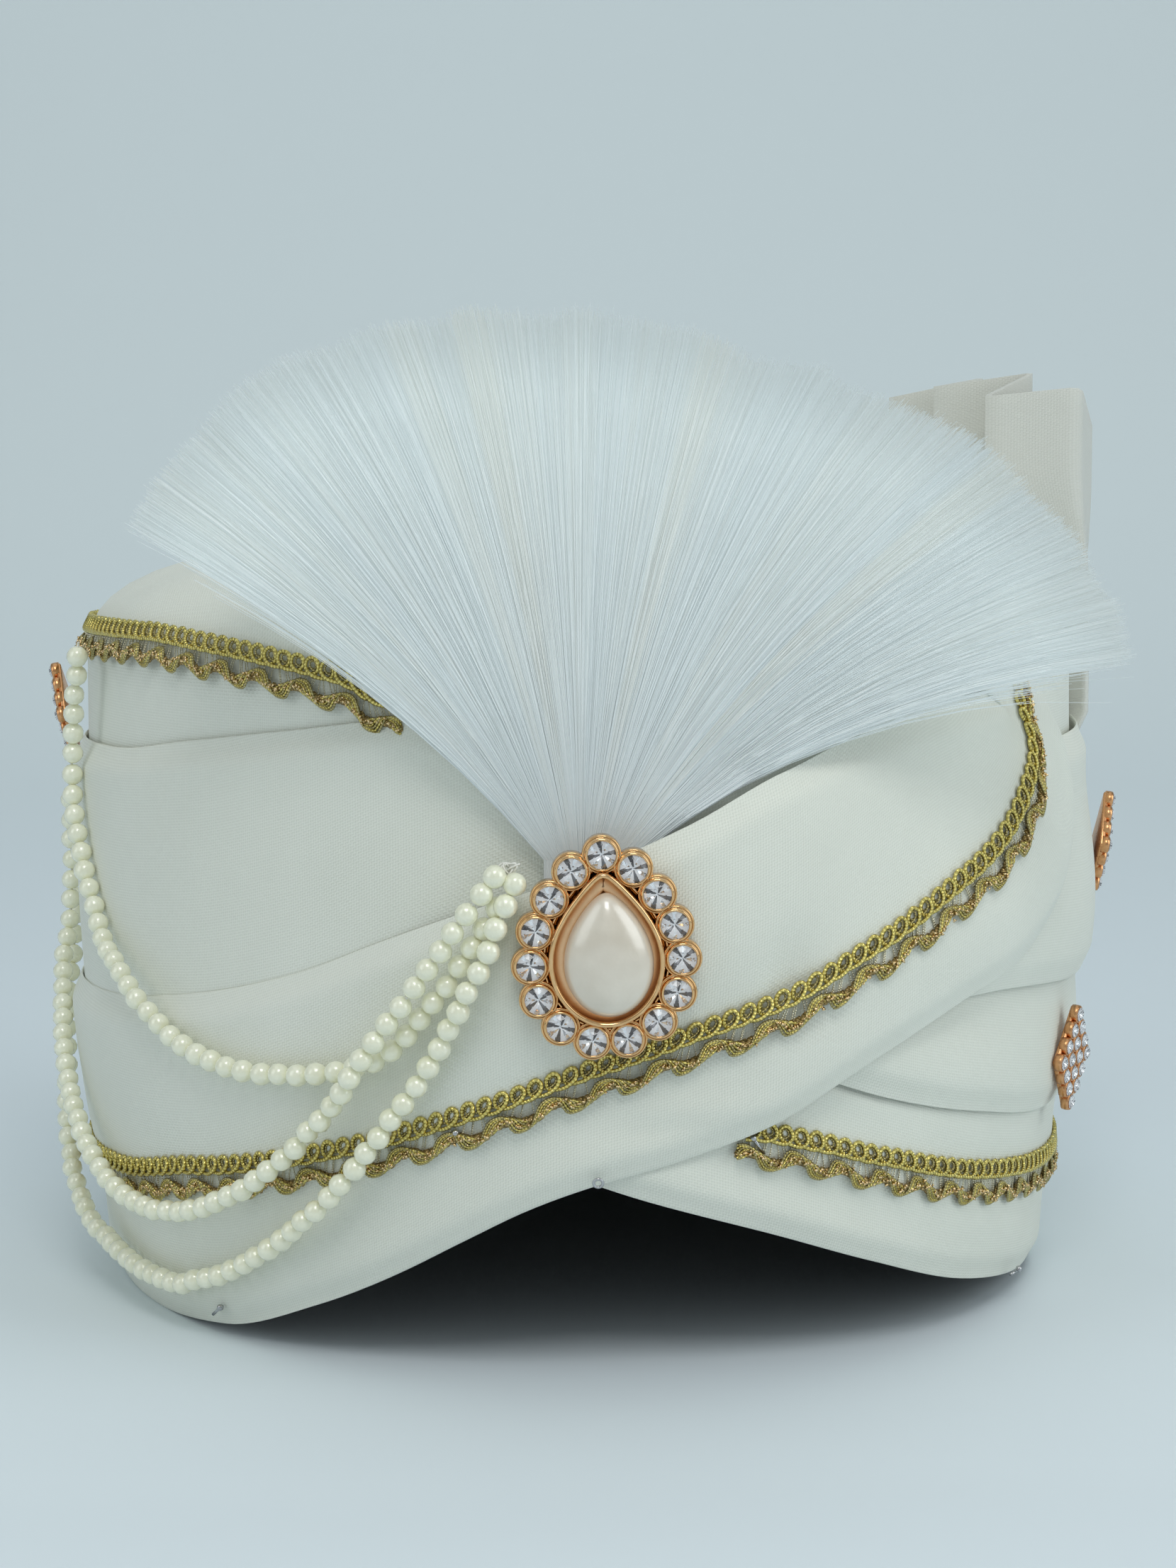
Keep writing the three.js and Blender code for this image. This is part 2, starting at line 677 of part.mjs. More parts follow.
function drop(size, height, sides, levels) {
  const middle = new THREE.Vector3(0, 0, height);
  const rows = Array.from({ length: sides }, (_, i) => {
    const rim = dropPoint(size, (-2 * Math.PI * i) / sides);
    return Array.from({ length: levels }, (_, k) => {
      const rise = ((k / levels) * Math.PI) / 2;
      return new THREE.Vector3(rim.x * Math.cos(rise), rim.y * Math.cos(rise), height * Math.sin(rise));
    });
  });
  const floor = new THREE.Vector3(0, 0, 0);
  const points = [...rows.flat(), middle, floor];
  const triangles = [];
  const at = (row, level) => (row % sides) * levels + level;
  for (let i = 0; i < sides; i++) {
    for (let k = 0; k < levels - 1; k++) {
      triangles.push(at(i, k), at(i + 1, k), at(i + 1, k + 1), at(i, k), at(i + 1, k + 1), at(i, k + 1));
    }
    triangles.push(at(i, levels - 1), at(i + 1, levels - 1), points.length - 2);
    triangles.push(at(i + 1, 0), at(i, 0), points.length - 1);
  }
  return closedGeometry(points, triangles);
}

function buildBrooch() {
  const brooch = new THREE.Group();
  turban.add(standOnCrown(brooch, BROOCH_CENTRE.turn, BROOCH_CENTRE.height, BROOCH_CENTRE.back, BROOCH_TILT));
  brooch.rotateZ(BROOCH_ROLL * DEGREES);

  const places = stonePlaces();
  const bezelRing = dropShape(grow(BEZEL, BEZEL.wall), 20);
  bezelRing.holes.push(dropShape(BEZEL, 20));
  const pieces = [
    plate(dropShape(STONE_RING, 20), PLATE_THICKNESS),
    plate(bezelRing, BEZEL.height),
    ...places.map((place) => cupGeometry().translate(place.x, place.y, 0)),
  ];
  brooch.add(add("brooch_setting", fuse(pieces), "gilt"));

  const pearl = add("brooch_pearl", drop(DROP_PEARL, DROP_PEARL.height, 16, 4), "dropPearl");
  pearl.position.set(DROP_PEARL_SHIFT.x, DROP_PEARL_SHIFT.y, PLATE_THICKNESS + GAP);
  brooch.add(pearl);

  places.forEach((place, i) => {
    const stone = add(`brooch_stone_${String(i + 1).padStart(2, "0")}`, weld(cutStone()), "stone");
    stone.position.set(place.x, place.y, CUP_FLOOR + GAP);
    brooch.add(stone);
  });
}

// Stone clips: a rhombus plate with its stones fused on
function buildClips() {
  const corner = new THREE.Shape();
  corner.moveTo(0, CLIP_HALF_HEIGHT);
  corner.lineTo(-CLIP_HALF_WIDTH, 0);
  corner.lineTo(0, -CLIP_HALF_HEIGHT);
  corner.lineTo(CLIP_HALF_WIDTH, 0);
  const stone = turned(
    [
      [0, CLIP_PLATE - 0.3],
      [CLIP_STONE.radius, CLIP_PLATE - 0.3],
      [CLIP_STONE.table, CLIP_PLATE + CLIP_STONE.height],
      [0, CLIP_PLATE + CLIP_STONE.height],
    ],
    JEWEL_SIDES,
  );
  const stones = [];
  for (let i = 0; i < CLIP_ROW; i++) {
    for (let k = 0; k < CLIP_ROW; k++) {
      const x = ((i - k) / CLIP_ROW) * CLIP_HALF_WIDTH;
      const y = ((i + k - (CLIP_ROW - 1)) / CLIP_ROW) * CLIP_HALF_HEIGHT;
      stones.push(stone.clone().translate(x, y, 0));
    }
  }
  const field = fuse([plate(corner, CLIP_PLATE), ...stones]);
  for (const clip of CLIPS) {
    const mesh = add(clip.name, field.clone(), "copper");
    standOnCrown(mesh, clip.turn, clip.height, clip.back, clip.tilt);
  }
}

// A bristle's place in the plume. share runs from the left bristle to the right one,
// and along from the head to the tip.
function bristlePoint(share, along, length) {
  const span = (range) => range.left + (range.right - range.left) * share;
  const start = span(PLUME_START_ANGLE) * DEGREES;
  const bend = span(PLUME_END_ANGLE) * DEGREES - start;
  const steps = 12;
  let x = (share * 2 - 1) * PLUME_HEAD.halfWidth;
  let z = PLUME_HEAD.top;
  for (let i = 0; i < steps; i++) {
    const angle = start + bend * along * ((i + 0.5) / steps);
    x += (Math.sin(angle) * length * along) / steps;
    z += (Math.cos(angle) * length * along) / steps;
  }
  const rise = Math.max(0, z - WALL_HEIGHT);
  return new THREE.Vector3(x, -PLUME_FRONT + PLUME_LEAN * rise * rise, z);
}

// The plume: a stub that the bristles are bound into, opening into a fan of locks
function buildPlume() {
  const reaches = [0, 0.2, 0.55, 1];
  const half = PLUME_LOCKS * 2;
  const face = (side) =>
    Array.from({ length: half + 1 }, (_, i) => {
      const share = i / half;
      const ridge = i % 2 === 1;
      const stub = new THREE.Vector3((share * 2 - 1) * PLUME_HEAD.halfWidth, -PLUME_FRONT, PLUME_HEAD.bottom);
      const line = [stub, ...reaches.map((along) => bristlePoint(share, along, PLUME_LENGTH * (ridge ? 1 : PLUME_NOTCH)))];
      return line.map((point, k) => {
        const spread = Math.max(0, k - 1) / (reaches.length - 1);
        const thick = PLUME_HEAD.thickness + (PLUME_TIP_THICKNESS - PLUME_HEAD.thickness) * spread;
        return point.clone().setY(point.y + side * (thick / 2) * (ridge ? 1 : 1 - 0.5 * spread) + PLUME_HEAD.thickness / 2);
      });
    });
  add("plume", wall(face(-1), face(1)), "plume");
}

// The pleated fan: panels that zigzag from the right side to the back. The folds stand upright
// at the foot and lean over the crown towards the top.
function buildFan() {
  const folds = FAN_FOLDS.map((row) => {
    const foot = crownPoint(row.turn, FAN_FOOT_HEIGHT, row.stand);
    return FAN_LEVELS.map((level) => {
      const lean = Math.pow(level, 3);
      return new THREE.Vector3(
        foot.x + (row.headX - foot.x) * lean,
        foot.y + (row.headY - foot.y) * lean,
        foot.z + (row.headZ - foot.z) * level,
      );
    });
  });
  const panels = folds.slice(1).map((after, i) => {
    const before = folds[i];
    const face = (side) => {
      const shifts = FAN_LEVELS.map((_, k) => {
        const run = after[k].clone().sub(before[k]);
        return new THREE.Vector3(run.y, -run.x, 0).setLength((side * FAN_THICKNESS) / 2);
      });
      return [before, after].map((line) => line.map((point, k) => point.clone().add(shifts[k])));
    };
    return wall(face(1), face(-1));
  });
  add("fan_pleats", fuse(panels), "cloth");
}

buildCrown();
buildWraps();
buildLace();
buildPearlStrings();
buildBrooch();
buildClips();
buildPlume();
buildFan();

// The origin is under the middle of the whole turban
const bounds = new THREE.Box3().setFromObject(turban, true);
const middle = bounds.getCenter(new THREE.Vector3());
turban.position.set(-middle.x, -middle.y, -bounds.min.z);

export default turban;
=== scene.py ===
"""Ready-tied ivory wedding turban: cloth, lace, pearls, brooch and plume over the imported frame."""
import math

import bpy
import numpy as np
from mathutils import Matrix, Vector


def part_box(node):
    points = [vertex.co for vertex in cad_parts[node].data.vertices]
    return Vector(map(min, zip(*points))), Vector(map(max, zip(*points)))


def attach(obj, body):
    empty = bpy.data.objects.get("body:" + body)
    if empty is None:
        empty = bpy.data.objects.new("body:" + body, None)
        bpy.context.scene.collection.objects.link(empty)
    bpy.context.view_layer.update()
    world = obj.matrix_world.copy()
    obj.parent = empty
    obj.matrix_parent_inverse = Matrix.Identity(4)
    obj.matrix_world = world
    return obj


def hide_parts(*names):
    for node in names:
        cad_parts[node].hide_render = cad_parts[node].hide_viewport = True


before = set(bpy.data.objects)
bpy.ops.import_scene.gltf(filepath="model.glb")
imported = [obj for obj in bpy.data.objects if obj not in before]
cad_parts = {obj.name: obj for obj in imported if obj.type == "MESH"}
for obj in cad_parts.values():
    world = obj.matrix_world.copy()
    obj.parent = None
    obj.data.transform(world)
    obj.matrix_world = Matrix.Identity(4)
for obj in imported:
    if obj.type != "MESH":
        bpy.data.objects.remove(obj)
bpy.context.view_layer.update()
rng = np.random.default_rng(11)

# All working sizes are in millimetres, and MM turns them into metres.
MM = 0.001
BODY = "root"

# The crown: an oval wall that flares upwards, closed by a flat dome
RIM_HALF_WIDTH = 90
OVAL_EXTRA_DEPTH = 12
FLARE = 6
FLARE_HEIGHT = 90
WALL_HEIGHT = 112
DOME_RISE = 26
DOME_ARC = 110
DOME_SQUARENESS = 3.2
RIGHT_TRIM = 3.5
RIM_TRIM = 2
CROWN_WALL = 1.4
CROWN_RIM_LIFT = 2
LINING_RIM_LIFT = 1
BASE_OUTSIDE = -1.8
BASE_INSIDE = -3.8
CAP_TURN_STEP = 2.0
CAP_WALL_ROWS = 22
CAP_DOME_SHARES = (0.03, 0.07, 0.12, 0.18, 0.25, 0.33, 0.42, 0.52, 0.63, 0.75, 0.87, 0.96)
# The weave is laid out round the wall at this radius, and flat from a little above the wall's top
WEAVE_RADIUS = 100
FLAT_WEAVE_ABOVE = 6
# Gathers over the crown's shoulder: how many, how deep, and the heights where they begin and fade
GATHERS = 17
GATHER_WAVER = 0.6
GATHER_DEPTH = 0.35
GATHER_BEGIN = (112, 135)
GATHER_FADE = (170, 215)
CROWN_UNEVEN = 0.1
CROWN_SINK = 0.2

# Cloth bands
CLOTH_THICKNESS = 1.3
SEAT_SLACK = 0.8
EDGE_SLACK = 0.12
TOP_EDGE_SLACK = -0.3
EDGE_FALL = 5
EDGE_THINNING = 0.5
EDGE_ROLL = 1.2
BAND_COLUMNS = 44
BAND_STEP = 2.5
# Shares of a band's width between which its seat goes from the low edge's to the high edge's
SEAT_CHANGE = (0.18, 0.8)

# Columns: turn and height on the crown, lean of the section, seat at both edges, puff, lace place
MAIN_NAMES = ("turn", "low", "high", "lean", "seat_low", "seat_high", "puff", "lace")
MAIN_WRAP = (
    (-6, 38, 56, 0, 0.4, 0.4, 0, 0.5),
    (4, 32, 56, 0, 0.6, 0.6, 0, 0.5),
    (19, 24.3, 54, 0, 0.6, 0.6, 0, 0.51),
    (32, 16.9, 49, 0, 0.4, 0.4, 0, 0.51),
    (48, 8.8, 44, 0, 0.4, 0.4, 0, 0.51),
    (70, 2.6, 41, 0, 0.4, 0.4, 0, 0.52),
    (90, 0, 41, 0, 0.4, 0.4, 0, 0.53),
    (135, 0, 43, 0, 0.4, 0.4, 0, 0.51),
    (180, 0, 46, 0, 0.4, 0.4, 0, 0.48),
    (215, 0, 50, 0, 0.4, 0.8, 0, 0.44),
    (240, 0, 54, 0, 0.4, 2.8, 0, 0.4),
    (270, 0, 55, 0, 0.4, 2.8, 0, 0.39),
    (300, 0, 57.3, 0, 0.4, 2.8, 0.3, 0.42),
    (316, 2, 61, 0, 0.4, 2.8, 0.5, 0.46),
    (330, 9.5, 66.8, 0, 0.4, 2.8, 0.6, 0.43),
    (340, 17, 73.5, 0, 0.4, 3, 0.6, 0.39),
    (348, 24.5, 78.8, 0, 1.8, 4.2, 0.5, 0.36),
    (354, 30, 82.5, 0, 2.7, 6, 0.3, 0.345),
    (360, 34, 86.5, 0, 2.7, 6.5, 0, 0.345),
    (369, 38.3, 93.5, 0, 2.8, 6.3, 0.3, 0.35),
    (378, 44.1, 101.4, 0, 4.7, 5.2, 0.8, 0.335),
    (387, 52.7, 106.1, -2, 5.9, 4.2, 1.2, 0.34),
    (398.6, 61.4, 109.6, -6, 6.4, 3.4, 1.5, 0.39),
    (407, 66, 110.8, -10, 6.4, 3, 1.5, 0.45),
    (414.7, 74, 111.8, -12.2, 6.2, 2.6, 1.2, 0.54),
    (419.4, 81, 112.2, -14.9, 5, 2.2, 0.8, 0.6),
    (422.3, 90.5, 112.8, -18.6, 3.8, 1.9, 0.5, 0.63),
    (421.2, 99.5, 114, -19, 3.2, 1.5, 0.3, 0.6),
    (417.8, 107, 119, -16.5, 2.4, 1.1, 0.2, 0.55),
    (415, 114, 128, -14, 1.4, 0.8, 0.1, 0.52),
    (414.5, 124, 142, -12, 0.7, 0.6, 0, 0.5),
    (418, 133, 155, -10, 0.6, 0.6, 0, 0.5),
    (427, 138, 160, -7, 0.6, 0.6, 0, 0.5),
    (440, 139, 159, -4, 0.6, 0.6, 0, 0.5),
)
LACE_FROM_ROW = 1.7
BROOCH_ROW = 18
MAIN_UNEVEN = 0.22
# Creases drawn towards the brooch: how many across, their reach in table rows, and depth
DRAG_WAVES = 15
DRAG_REACH = 1.6
DRAG_DEPTH = 0.35
# Dents beside the brooch: turn, height, spread round, spread up and depth
MAIN_DENTS = (
    (378.5, 69, 2.2, 7, 1.3),
    (380, 62, 5, 2.2, 0.7),
    (366, 44, 5, 2.0, 0.5),
    (372, 47.5, 6, 2.0, -0.4),
)

BAND_NAMES = MAIN_NAMES[:7]
MIDDLE_WRAP = (
    (21, 52, 74, 0, 2.7, 0.5, 0),
    (32, 45.6, 74, 0, 3, 0.5, 0),
    (45, 40.4, 74, 0, 3, 0.5, 0),
    (65, 35.4, 74, 0, 2.7, 0.5, 0),
    (90, 35, 74, 0, 2.7, 0.5, 0),
    (135, 37, 74, 0, 2.7, 0.5, 0),
    (180, 42, 73, 0, 2.7, 0.5, 0),
    (200, 48, 72, 0, 2.3, 0.5, 0),
    (213, 59, 70, 0, 0.5, 0.5, 0),
)
UPPER_WRAP = (
    (30, 61, 100, 0, 3.7, 0.5, 0),
    (45, 61.2, 102, 0, 3.7, 0.5, 0.4),
    (70, 58, 102.3, 0, 3.7, 0.6, 0.6),
    (86, 57.4, 102.4, 0, 3.7, 1.6, 0.6),
    (100, 57, 102.5, 0, 3.7, 3.2, 0.6),
    (122, 57.4, 102.5, 0, 3.7, 3.2, 0.6),
    (142, 58, 102.5, 0, 3.7, 0.6, 0.6),
    (180, 61, 104, 0, 3.6, 0.5, 0.5),
    (205, 60.5, 104, 0, 3.7, 0.5, 0.4),
    (222, 57, 103, 0, 2, 0.5, 0.2),
    (234, 53, 102, 0, 0.5, 0.5, 0),
    (250, 50, 101, 0, 0.4, 0.5, 0),
    (270, 48, 100.5, 0, 0.4, 0.5, 0),
    (299, 48, 101, 0, 0.4, 0.5, 0),
    (315, 50, 104, 0, 0.4, 0.5, 0),
    (329, 55, 107, 0, 0.4, 0.5, 0),
    (343, 64, 109.7, 0, 0.4, 0.5, 0),
    (354, 71, 108, 0, 0.4, 0.5, 0),
    (365, 79, 102, 0, 0.4, 0.5, 0),
    (374, 84, 101, 0, 0.4, 0.5, 0),
    (381, 88, 104.5, 0, 0.4, 0.5, 0),
    (388, 94, 108.5, 0, 0.4, 0.5, 0),
)

CROWN_LACE = (
    (342, 109.6),
    (336, 113),
    (327, 116.6),
    (318, 119.6),
    (306, 122),
    (290, 121.6),
    (255, 120.4),
    (215, 122),
    (180, 125),
    (150, 126),
)

# Lace: a looped gold thread above, fine threads across, and a waved braid below
LACE_WIDTH = 8.2
LOOP_PITCH = 3.0
LOOP_STEPS = 2
LOOP_THREAD = 0.36
LOOP_UNEVEN = 0.05
# Inside each ring a darker thread, laid round this centre: partly a thread of its own, partly painted shade
# inside the rings.
RING_CENTRE = (0.0, 2.75)
RING_FILL = 0.55
RING_FILL_THREAD = 0.24
# One repeat of the looped thread: along, across and lift, with a small ring on top of a broad arc
LOOP_SHAPE = (
    (-1.5, 0.9, 0.75), (-0.2, 1.08, 1.0), (0.9, 1.83, 0.9), (1.16, 2.81, 0.65), (0.65, 3.62, 0.5),
    (-0.18, 3.87, 0.45), (-0.97, 3.38, 0.4), (-1.2, 2.46, 0.35), (-0.73, 1.43, 0.4),
)
BRAID_CENTRE = -2.0
WAVE_PITCH = 9.2
WAVE_ROUNDNESS = 1.7
CORE_SWING = 0.6
CORE_TWIST = 2.4
CORE_SPREAD = 0.44
CORE_THREAD = 0.56
CORE_LIFT = 0.6
CORE_ROUND = 0.3
CORE_SAMPLE = 0.4
# The bundle of fine strands that crosses the core and arches past it on both sides
STRAND_SWINGS = (0.6, 0.92, 1.2, 1.46, 1.7, 1.92)
STRAND_STEP = 0.46
STRAND_THREAD = 0.23
STRAND_LIFT = 0.9
STRAND_CROSSING = 0.5
STRAND_SAMPLE = 0.6
SPECK_STEP = 0.4
SPECK_SIZE = 0.44
SPECK_SIZES = (0.7, 1.25)
SPECK_JITTER = 0.15
SPECK_SPREAD = 0.36
SPECK_LIFT = (1.25, 1.7)
# Fine bridging threads between the loops and the braid
BRIDGE_PITCH = 1.5
BRIDGE_THREAD = 0.12
BRIDGE_PAIR = 0.22
BRIDGE_TOP = 1.1
BRIDGE_SWING = 1.2
BRIDGE_LEAN = 0.3
BRIDGE_LEAN_MOST = 0.9
BRIDGE_LIFT = 0.35
BRIDGE_BOW = 0.2
BRIDGE_UNEVEN = 0.1
BRIDGE_LEAN_UNEVEN = 0.2
BRIDGE_LIFT_UNEVEN = 0.05
# The braid's crests lie this share of a pitch past the start of each wave
CREST_SHARE = 0.25
# Where the main lace turns up behind the band's end, it lies on edge and shows less of its width
LACE_TURN_ROWS = (23.6, 26)
LACE_TURN_WIDTH = 0.55
MAIN_LACE_POINTS = 1600
CROWN_LACE_POINTS = 900
CROWN_LACE_LIFT = 0.2

# Pearl strings: turn, height and lift off the crown, from the brooch to the left clip
PEARL_STRINGS = {
    "pearl_string_upper": (
        (-11.2, 71, 9.8), (-13, 66.6, 9.3), (-15.5, 61.2, 8.7), (-18.8, 55.8, 8.2), (-22.8, 53, 7.8),
        (-29, 51.2, 7.6), (-35.7, 51, 7.6), (-42.5, 53.8, 7.5), (-49, 59.2, 7.2), (-54, 64.2, 6.4),
        (-58.5, 67.8, 5.2), (-63, 76, 4.8), (-66.7, 85.4, 4.8), (-68.8, 95.2, 4.8), (-67.4, 105.5, 4.8),
        (-65.8, 113, 4.9), (-64.8, 119.5, 5.2),
    ),
    "pearl_string_middle": (
        (-9.6, 81.4, 12.6), (-11.8, 75.7, 12.2), (-14.1, 70, 11.7), (-16.3, 64.3, 11.6),
        (-18.7, 58.7, 11.9), (-21, 52.6, 12), (-23.1, 48, 10), (-26.5, 41.7, 8.9),
        (-31.5, 34.3, 8.8), (-38.2, 27.5, 8.4), (-47, 23.1, 8), (-56.5, 24.2, 8.2),
        (-64.8, 29.8, 8.2), (-71, 36, 7.8), (-77, 44, 7.3), (-82, 52, 6.9),
        (-85.5, 59, 6.2), (-87, 66, 5.1), (-87.5, 76, 4.6), (-87.5, 90, 4.6),
    ),
    "pearl_string_lower": (
        (-7, 80.6, 12.4), (-8.6, 73, 12.4), (-9.9, 68.4, 12.2), (-11.4, 63.4, 10.9), (-13.1, 57.8, 9.4),
        (-15.3, 51.8, 9), (-18.6, 43.9, 8.9), (-22.4, 35.8, 8.4), (-27, 27.9, 7.8), (-30.2, 23.5, 6.5),
        (-35.5, 17.7, 5.5), (-41.4, 12.6, 5.2), (-48.8, 9.1, 5.2), (-57.2, 8.9, 5.2), (-64.5, 10.4, 5.8),
        (-71, 13.2, 7.2), (-77, 19.5, 8.3), (-82, 29, 8.3), (-86, 40, 7.6), (-89, 50, 7),
        (-91, 58, 6.2), (-92, 66, 5.1), (-92.5, 76, 4.6), (-92, 90, 4.6),
    ),
}

# The last beads of each string, drawn together at the knot beside the brooch
STRING_STARTS = {
    "pearl_string_upper": ((-7.4, 82, 10.4), (-9.3, 76.5, 10.2)),
    "pearl_string_middle": ((-7.3, 87.2, 12.0),),
    "pearl_string_lower": ((-5.9, 86, 11.4),),
}
BEAD_RADIUS = 1.95
BEAD_SPACING = 3.85
BEAD_INSET = 0.6
BEAD_FLAT_END = 0.96
BEAD_SPIN = 6.28
BEAD_SIZES = (0.965, 1.02)
BEAD_STRAY = 0.1
STRING_THREAD = 0.25
STRING_POINTS = 220
STRING_OUT = (0.3, -0.9, 0.31)
# The thread knot beside the brooch: its middle from the crown's axis, and its reach each way
KNOT_MIDDLE = (-12.6, -117.0, 86.2)
KNOT_REACH = (1.9, 0.9, 1.7)
KNOT_THREAD = 0.16
KNOT_POINTS = 160
KNOT_OUT = (0.1, -0.95, 0.3)

# Brooch
BROOCH_TURN = 1.5
BROOCH_HEIGHT = 75
BROOCH_BACK = 9
BROOCH_TILT = 2
BROOCH_ROLL = 2.8
STONE_COUNT = 15
STONE_RADIUS = 2.24
STONE_DEPTH = 0.62
STONE_SEAT = 1.5
STONE_GIRDLE = 0.64
# Rings of a cut stone: share of its radius, and level in radii
STONE_TABLE_RING = (0.56, 0.36)
STONE_CROWN_RING = (0.8, 0.23)
STONE_EDGE_RINGS = ((1.0, 0.02), (1.0, -0.04))
STONE_POINT = 0.12
STONE_BACK_BELOW = -0.02
PLATE_THICKNESS = 1.2
PLATE_MARGIN = 1.0
DROP_POINTS = 88
# Drop shapes: half width, half height, narrowing and pointing of the top
STONE_RING = (12.2, 15.1, 0.1, 0.03)
BEZEL = (8.9, 11.6, 0.0, 0.08)
DROP_PEARL = (7.4, 10.0, 0.03, 0.05)
DROP_PEARL_HEIGHT = 5.4
DROP_PEARL_SHIFT = (0.35, -0.9)
DROP_PEARL_SEAT = PLATE_THICKNESS + 0.3
DROP_PEARL_POINTS = 64
DROP_PEARL_LEVELS = 14
# The widest line as a share of the height, and the angle below it where the foot is cut off
DROP_PEARL_WIDEST = 0.25
DROP_PEARL_FOOT = -0.55

# Copper clips: turn, height, stand-off, tilt, and how far the face turns away from the crown's own
CLIPS = {
    "clip_left": (-87, 104, 3.9, 12, 0),
    "clip_right_upper": (86, 79.4, 6.2, 6, 0),
    "clip_right_lower": (64.8, 44.6, 5.6, 0, -8),
}
CLIP_PLATE = (7.4, 9.6)
CLIP_PLATE_THICKNESS = 1.0
CLIP_PLATE_BEVEL = 0.3
CLIP_ROW = 4
CLIP_HALF_WIDTH = 8
CLIP_HALF_HEIGHT = 10.8
CLIP_STONE = 1.25
CLIP_STONE_DEPTH = 0.45
CLIP_STONE_SEAT = 1.95

# Plume
PLUME_HEAD_HALF = 7
PLUME_HEAD_TOP = 88
PLUME_HEAD_LOW = 79
PLUME_HEAD_DEPTH = 2.4
PLUME_TIP_DEPTH = 5
PLUME_LENGTH = 86
PLUME_FRONT = 112.2
PLUME_LEAN = 0.0012
PLUME_START = (-40, 53)
PLUME_END = (-62, 84)
# Share of the full length that the locks reach, from the left of the fan to the right
PLUME_REACH = (1.0, 1.035, 1.05, 1.04, 1.005, 0.985, 0.985, 1.0, 1.025, 1.035, 1.01)
# The right end of the fan bends back by this much, to pass behind the band's edge
PLUME_TUCK = 5.5
TUCK_SHARES = (0.7, 0.95)
TUCK_ACROSS = (8, 30)
CREAM_LOCKS = (11, 18, 27)
CREAM_TINT = 0.65
LOCK_TINT = (0.2, 0.12)
LOCK_LENGTH_SPREAD = 0.012
LOCK_PULL = 0.16
LOCK_PLACES = (0.2, 0.8)
PLUME_PIECES = 4
BRISTLES_PER_PIECE = 3900
BRISTLE_POINTS = 8
BRISTLE_RADIUS = 0.11
BRISTLE_TIP_RADIUS = 0.04
BRISTLE_TINT_SPREAD = 0.15
LOOSE_SHARE = 0.035
LOOSE_SWING = 0.035
SHORT_SHARE = 0.22
SHORT_CUT = (0.03, 0.2)
RAGGED_SPREAD = 0.03
RAGGED_CUT = 0.02
STRAY_TIP = 0.4
STRAY_DEPTH = 0.5
LOCK_COUNT = 34

# Fan: turn and stand-off of each fold's foot, then where its top end is
FAN_FOLDS = (
    (99, 7.4, 99.4, 15, 159),
    (92.5, 5.6, 95.5, 4, 166.4),
    (94.5, 2.6, 77.4, 6, 164.6),
    (99.5, 3.9, 88.2, 15, 169.6),
    (102.5, 2, 68.6, 19, 166.8),
    (107, 3.9, 80, 28, 169),
    (110, 2, 61, 32, 165),
    (114.5, 3.9, 72, 41, 164.6),
    (118, 2, 55, 45, 159),
)
FAN_FOOT_HEIGHT = 103
FAN_TUCK_HEIGHT = 94
FAN_TUCK_OFFSET = 0.9
FAN_TUCK_SPREAD = 0.1
FAN_TUCK_LEVELS = 4
FAN_LEAN = (0.3, 0.8)
FAN_BELLY = 0.5
FAN_HEIGHT = 62
FAN_THICKNESS = 1.1
FAN_EDGE = 0.42
FAN_LEVELS = 26
FAN_PANEL_POINTS = 9

crown_low, crown_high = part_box("crown_cover")
OVAL_LEFT = (RIM_HALF_WIDTH + FLARE) * MM
OVAL_CENTRE = np.array([crown_low.x + OVAL_LEFT, (crown_low.y + crown_high.y) / 2, 0.0])


# Shapes shared with the construction

def crown_surface(turn, height):
    turn = np.asarray(turn, float)
    height = np.asarray(height, float)
    arc = np.clip((height - WALL_HEIGHT) / DOME_ARC, 0, 1) * math.pi / 2
    power = 2 / DOME_SQUARENESS
    reach = np.maximum(np.cos(arc), 0) ** power
    flare = FLARE * np.sin(math.pi / 2 * np.minimum(height / FLARE_HEIGHT, 1))
    level = np.minimum(height, WALL_HEIGHT) + DOME_RISE * np.sin(arc) ** power
    angle = np.radians(turn)
    trim = RIGHT_TRIM + RIM_TRIM * (1 - np.clip(height / FLARE_HEIGHT, 0, 1))
    drawn_in = trim * np.maximum(np.sin(angle), 0) ** 2
    across = ((RIM_HALF_WIDTH + flare) * np.sin(angle) - drawn_in) * reach
    depth = -(RIM_HALF_WIDTH + OVAL_EXTRA_DEPTH + flare) * reach * np.cos(angle)
    return np.stack(np.broadcast_arrays(across, depth, level), axis=-1)


def unit(vectors):
    return vectors / np.linalg.norm(vectors, axis=-1, keepdims=True)


def crown_normal(turn, height):
    nudge = 0.5
    height = np.minimum(height, WALL_HEIGHT + DOME_ARC - 2 * nudge)
    along = crown_surface(turn + nudge, height) - crown_surface(turn - nudge, height)
    up = crown_surface(turn, height + nudge) - crown_surface(turn, height - nudge)
    return unit(np.cross(along, up))


def crown_point(turn, height, offset):
    turn, height, offset = np.broadcast_arrays(*(np.asarray(x, float) for x in (turn, height, offset)))
    return crown_surface(turn, height) + crown_normal(turn, height) * offset[..., None]


def column(values):
    """A smooth curve through a table's column, read by row number."""
    values = np.asarray(values, float)
    last = len(values) - 1
    steps = np.diff(values)
    before = np.concatenate([steps[:1], steps])
    after = np.concatenate([steps, before[-1:]])
    same_way = before * after > 0
    slopes = np.where(same_way, 2 * before * after / np.where(same_way, before + after, 1), 0)

    def read(place):
        place = np.asarray(place, float)
        row = np.clip(np.floor(place).astype(int), 0, last - 1)
        t = place - row
        s = t * t * (3 - 2 * t)
        bow = t * (1 - t) * ((1 - t) * slopes[row] - t * slopes[row + 1])
        return values[row] * (1 - s) + values[row + 1] * s + bow

    return read


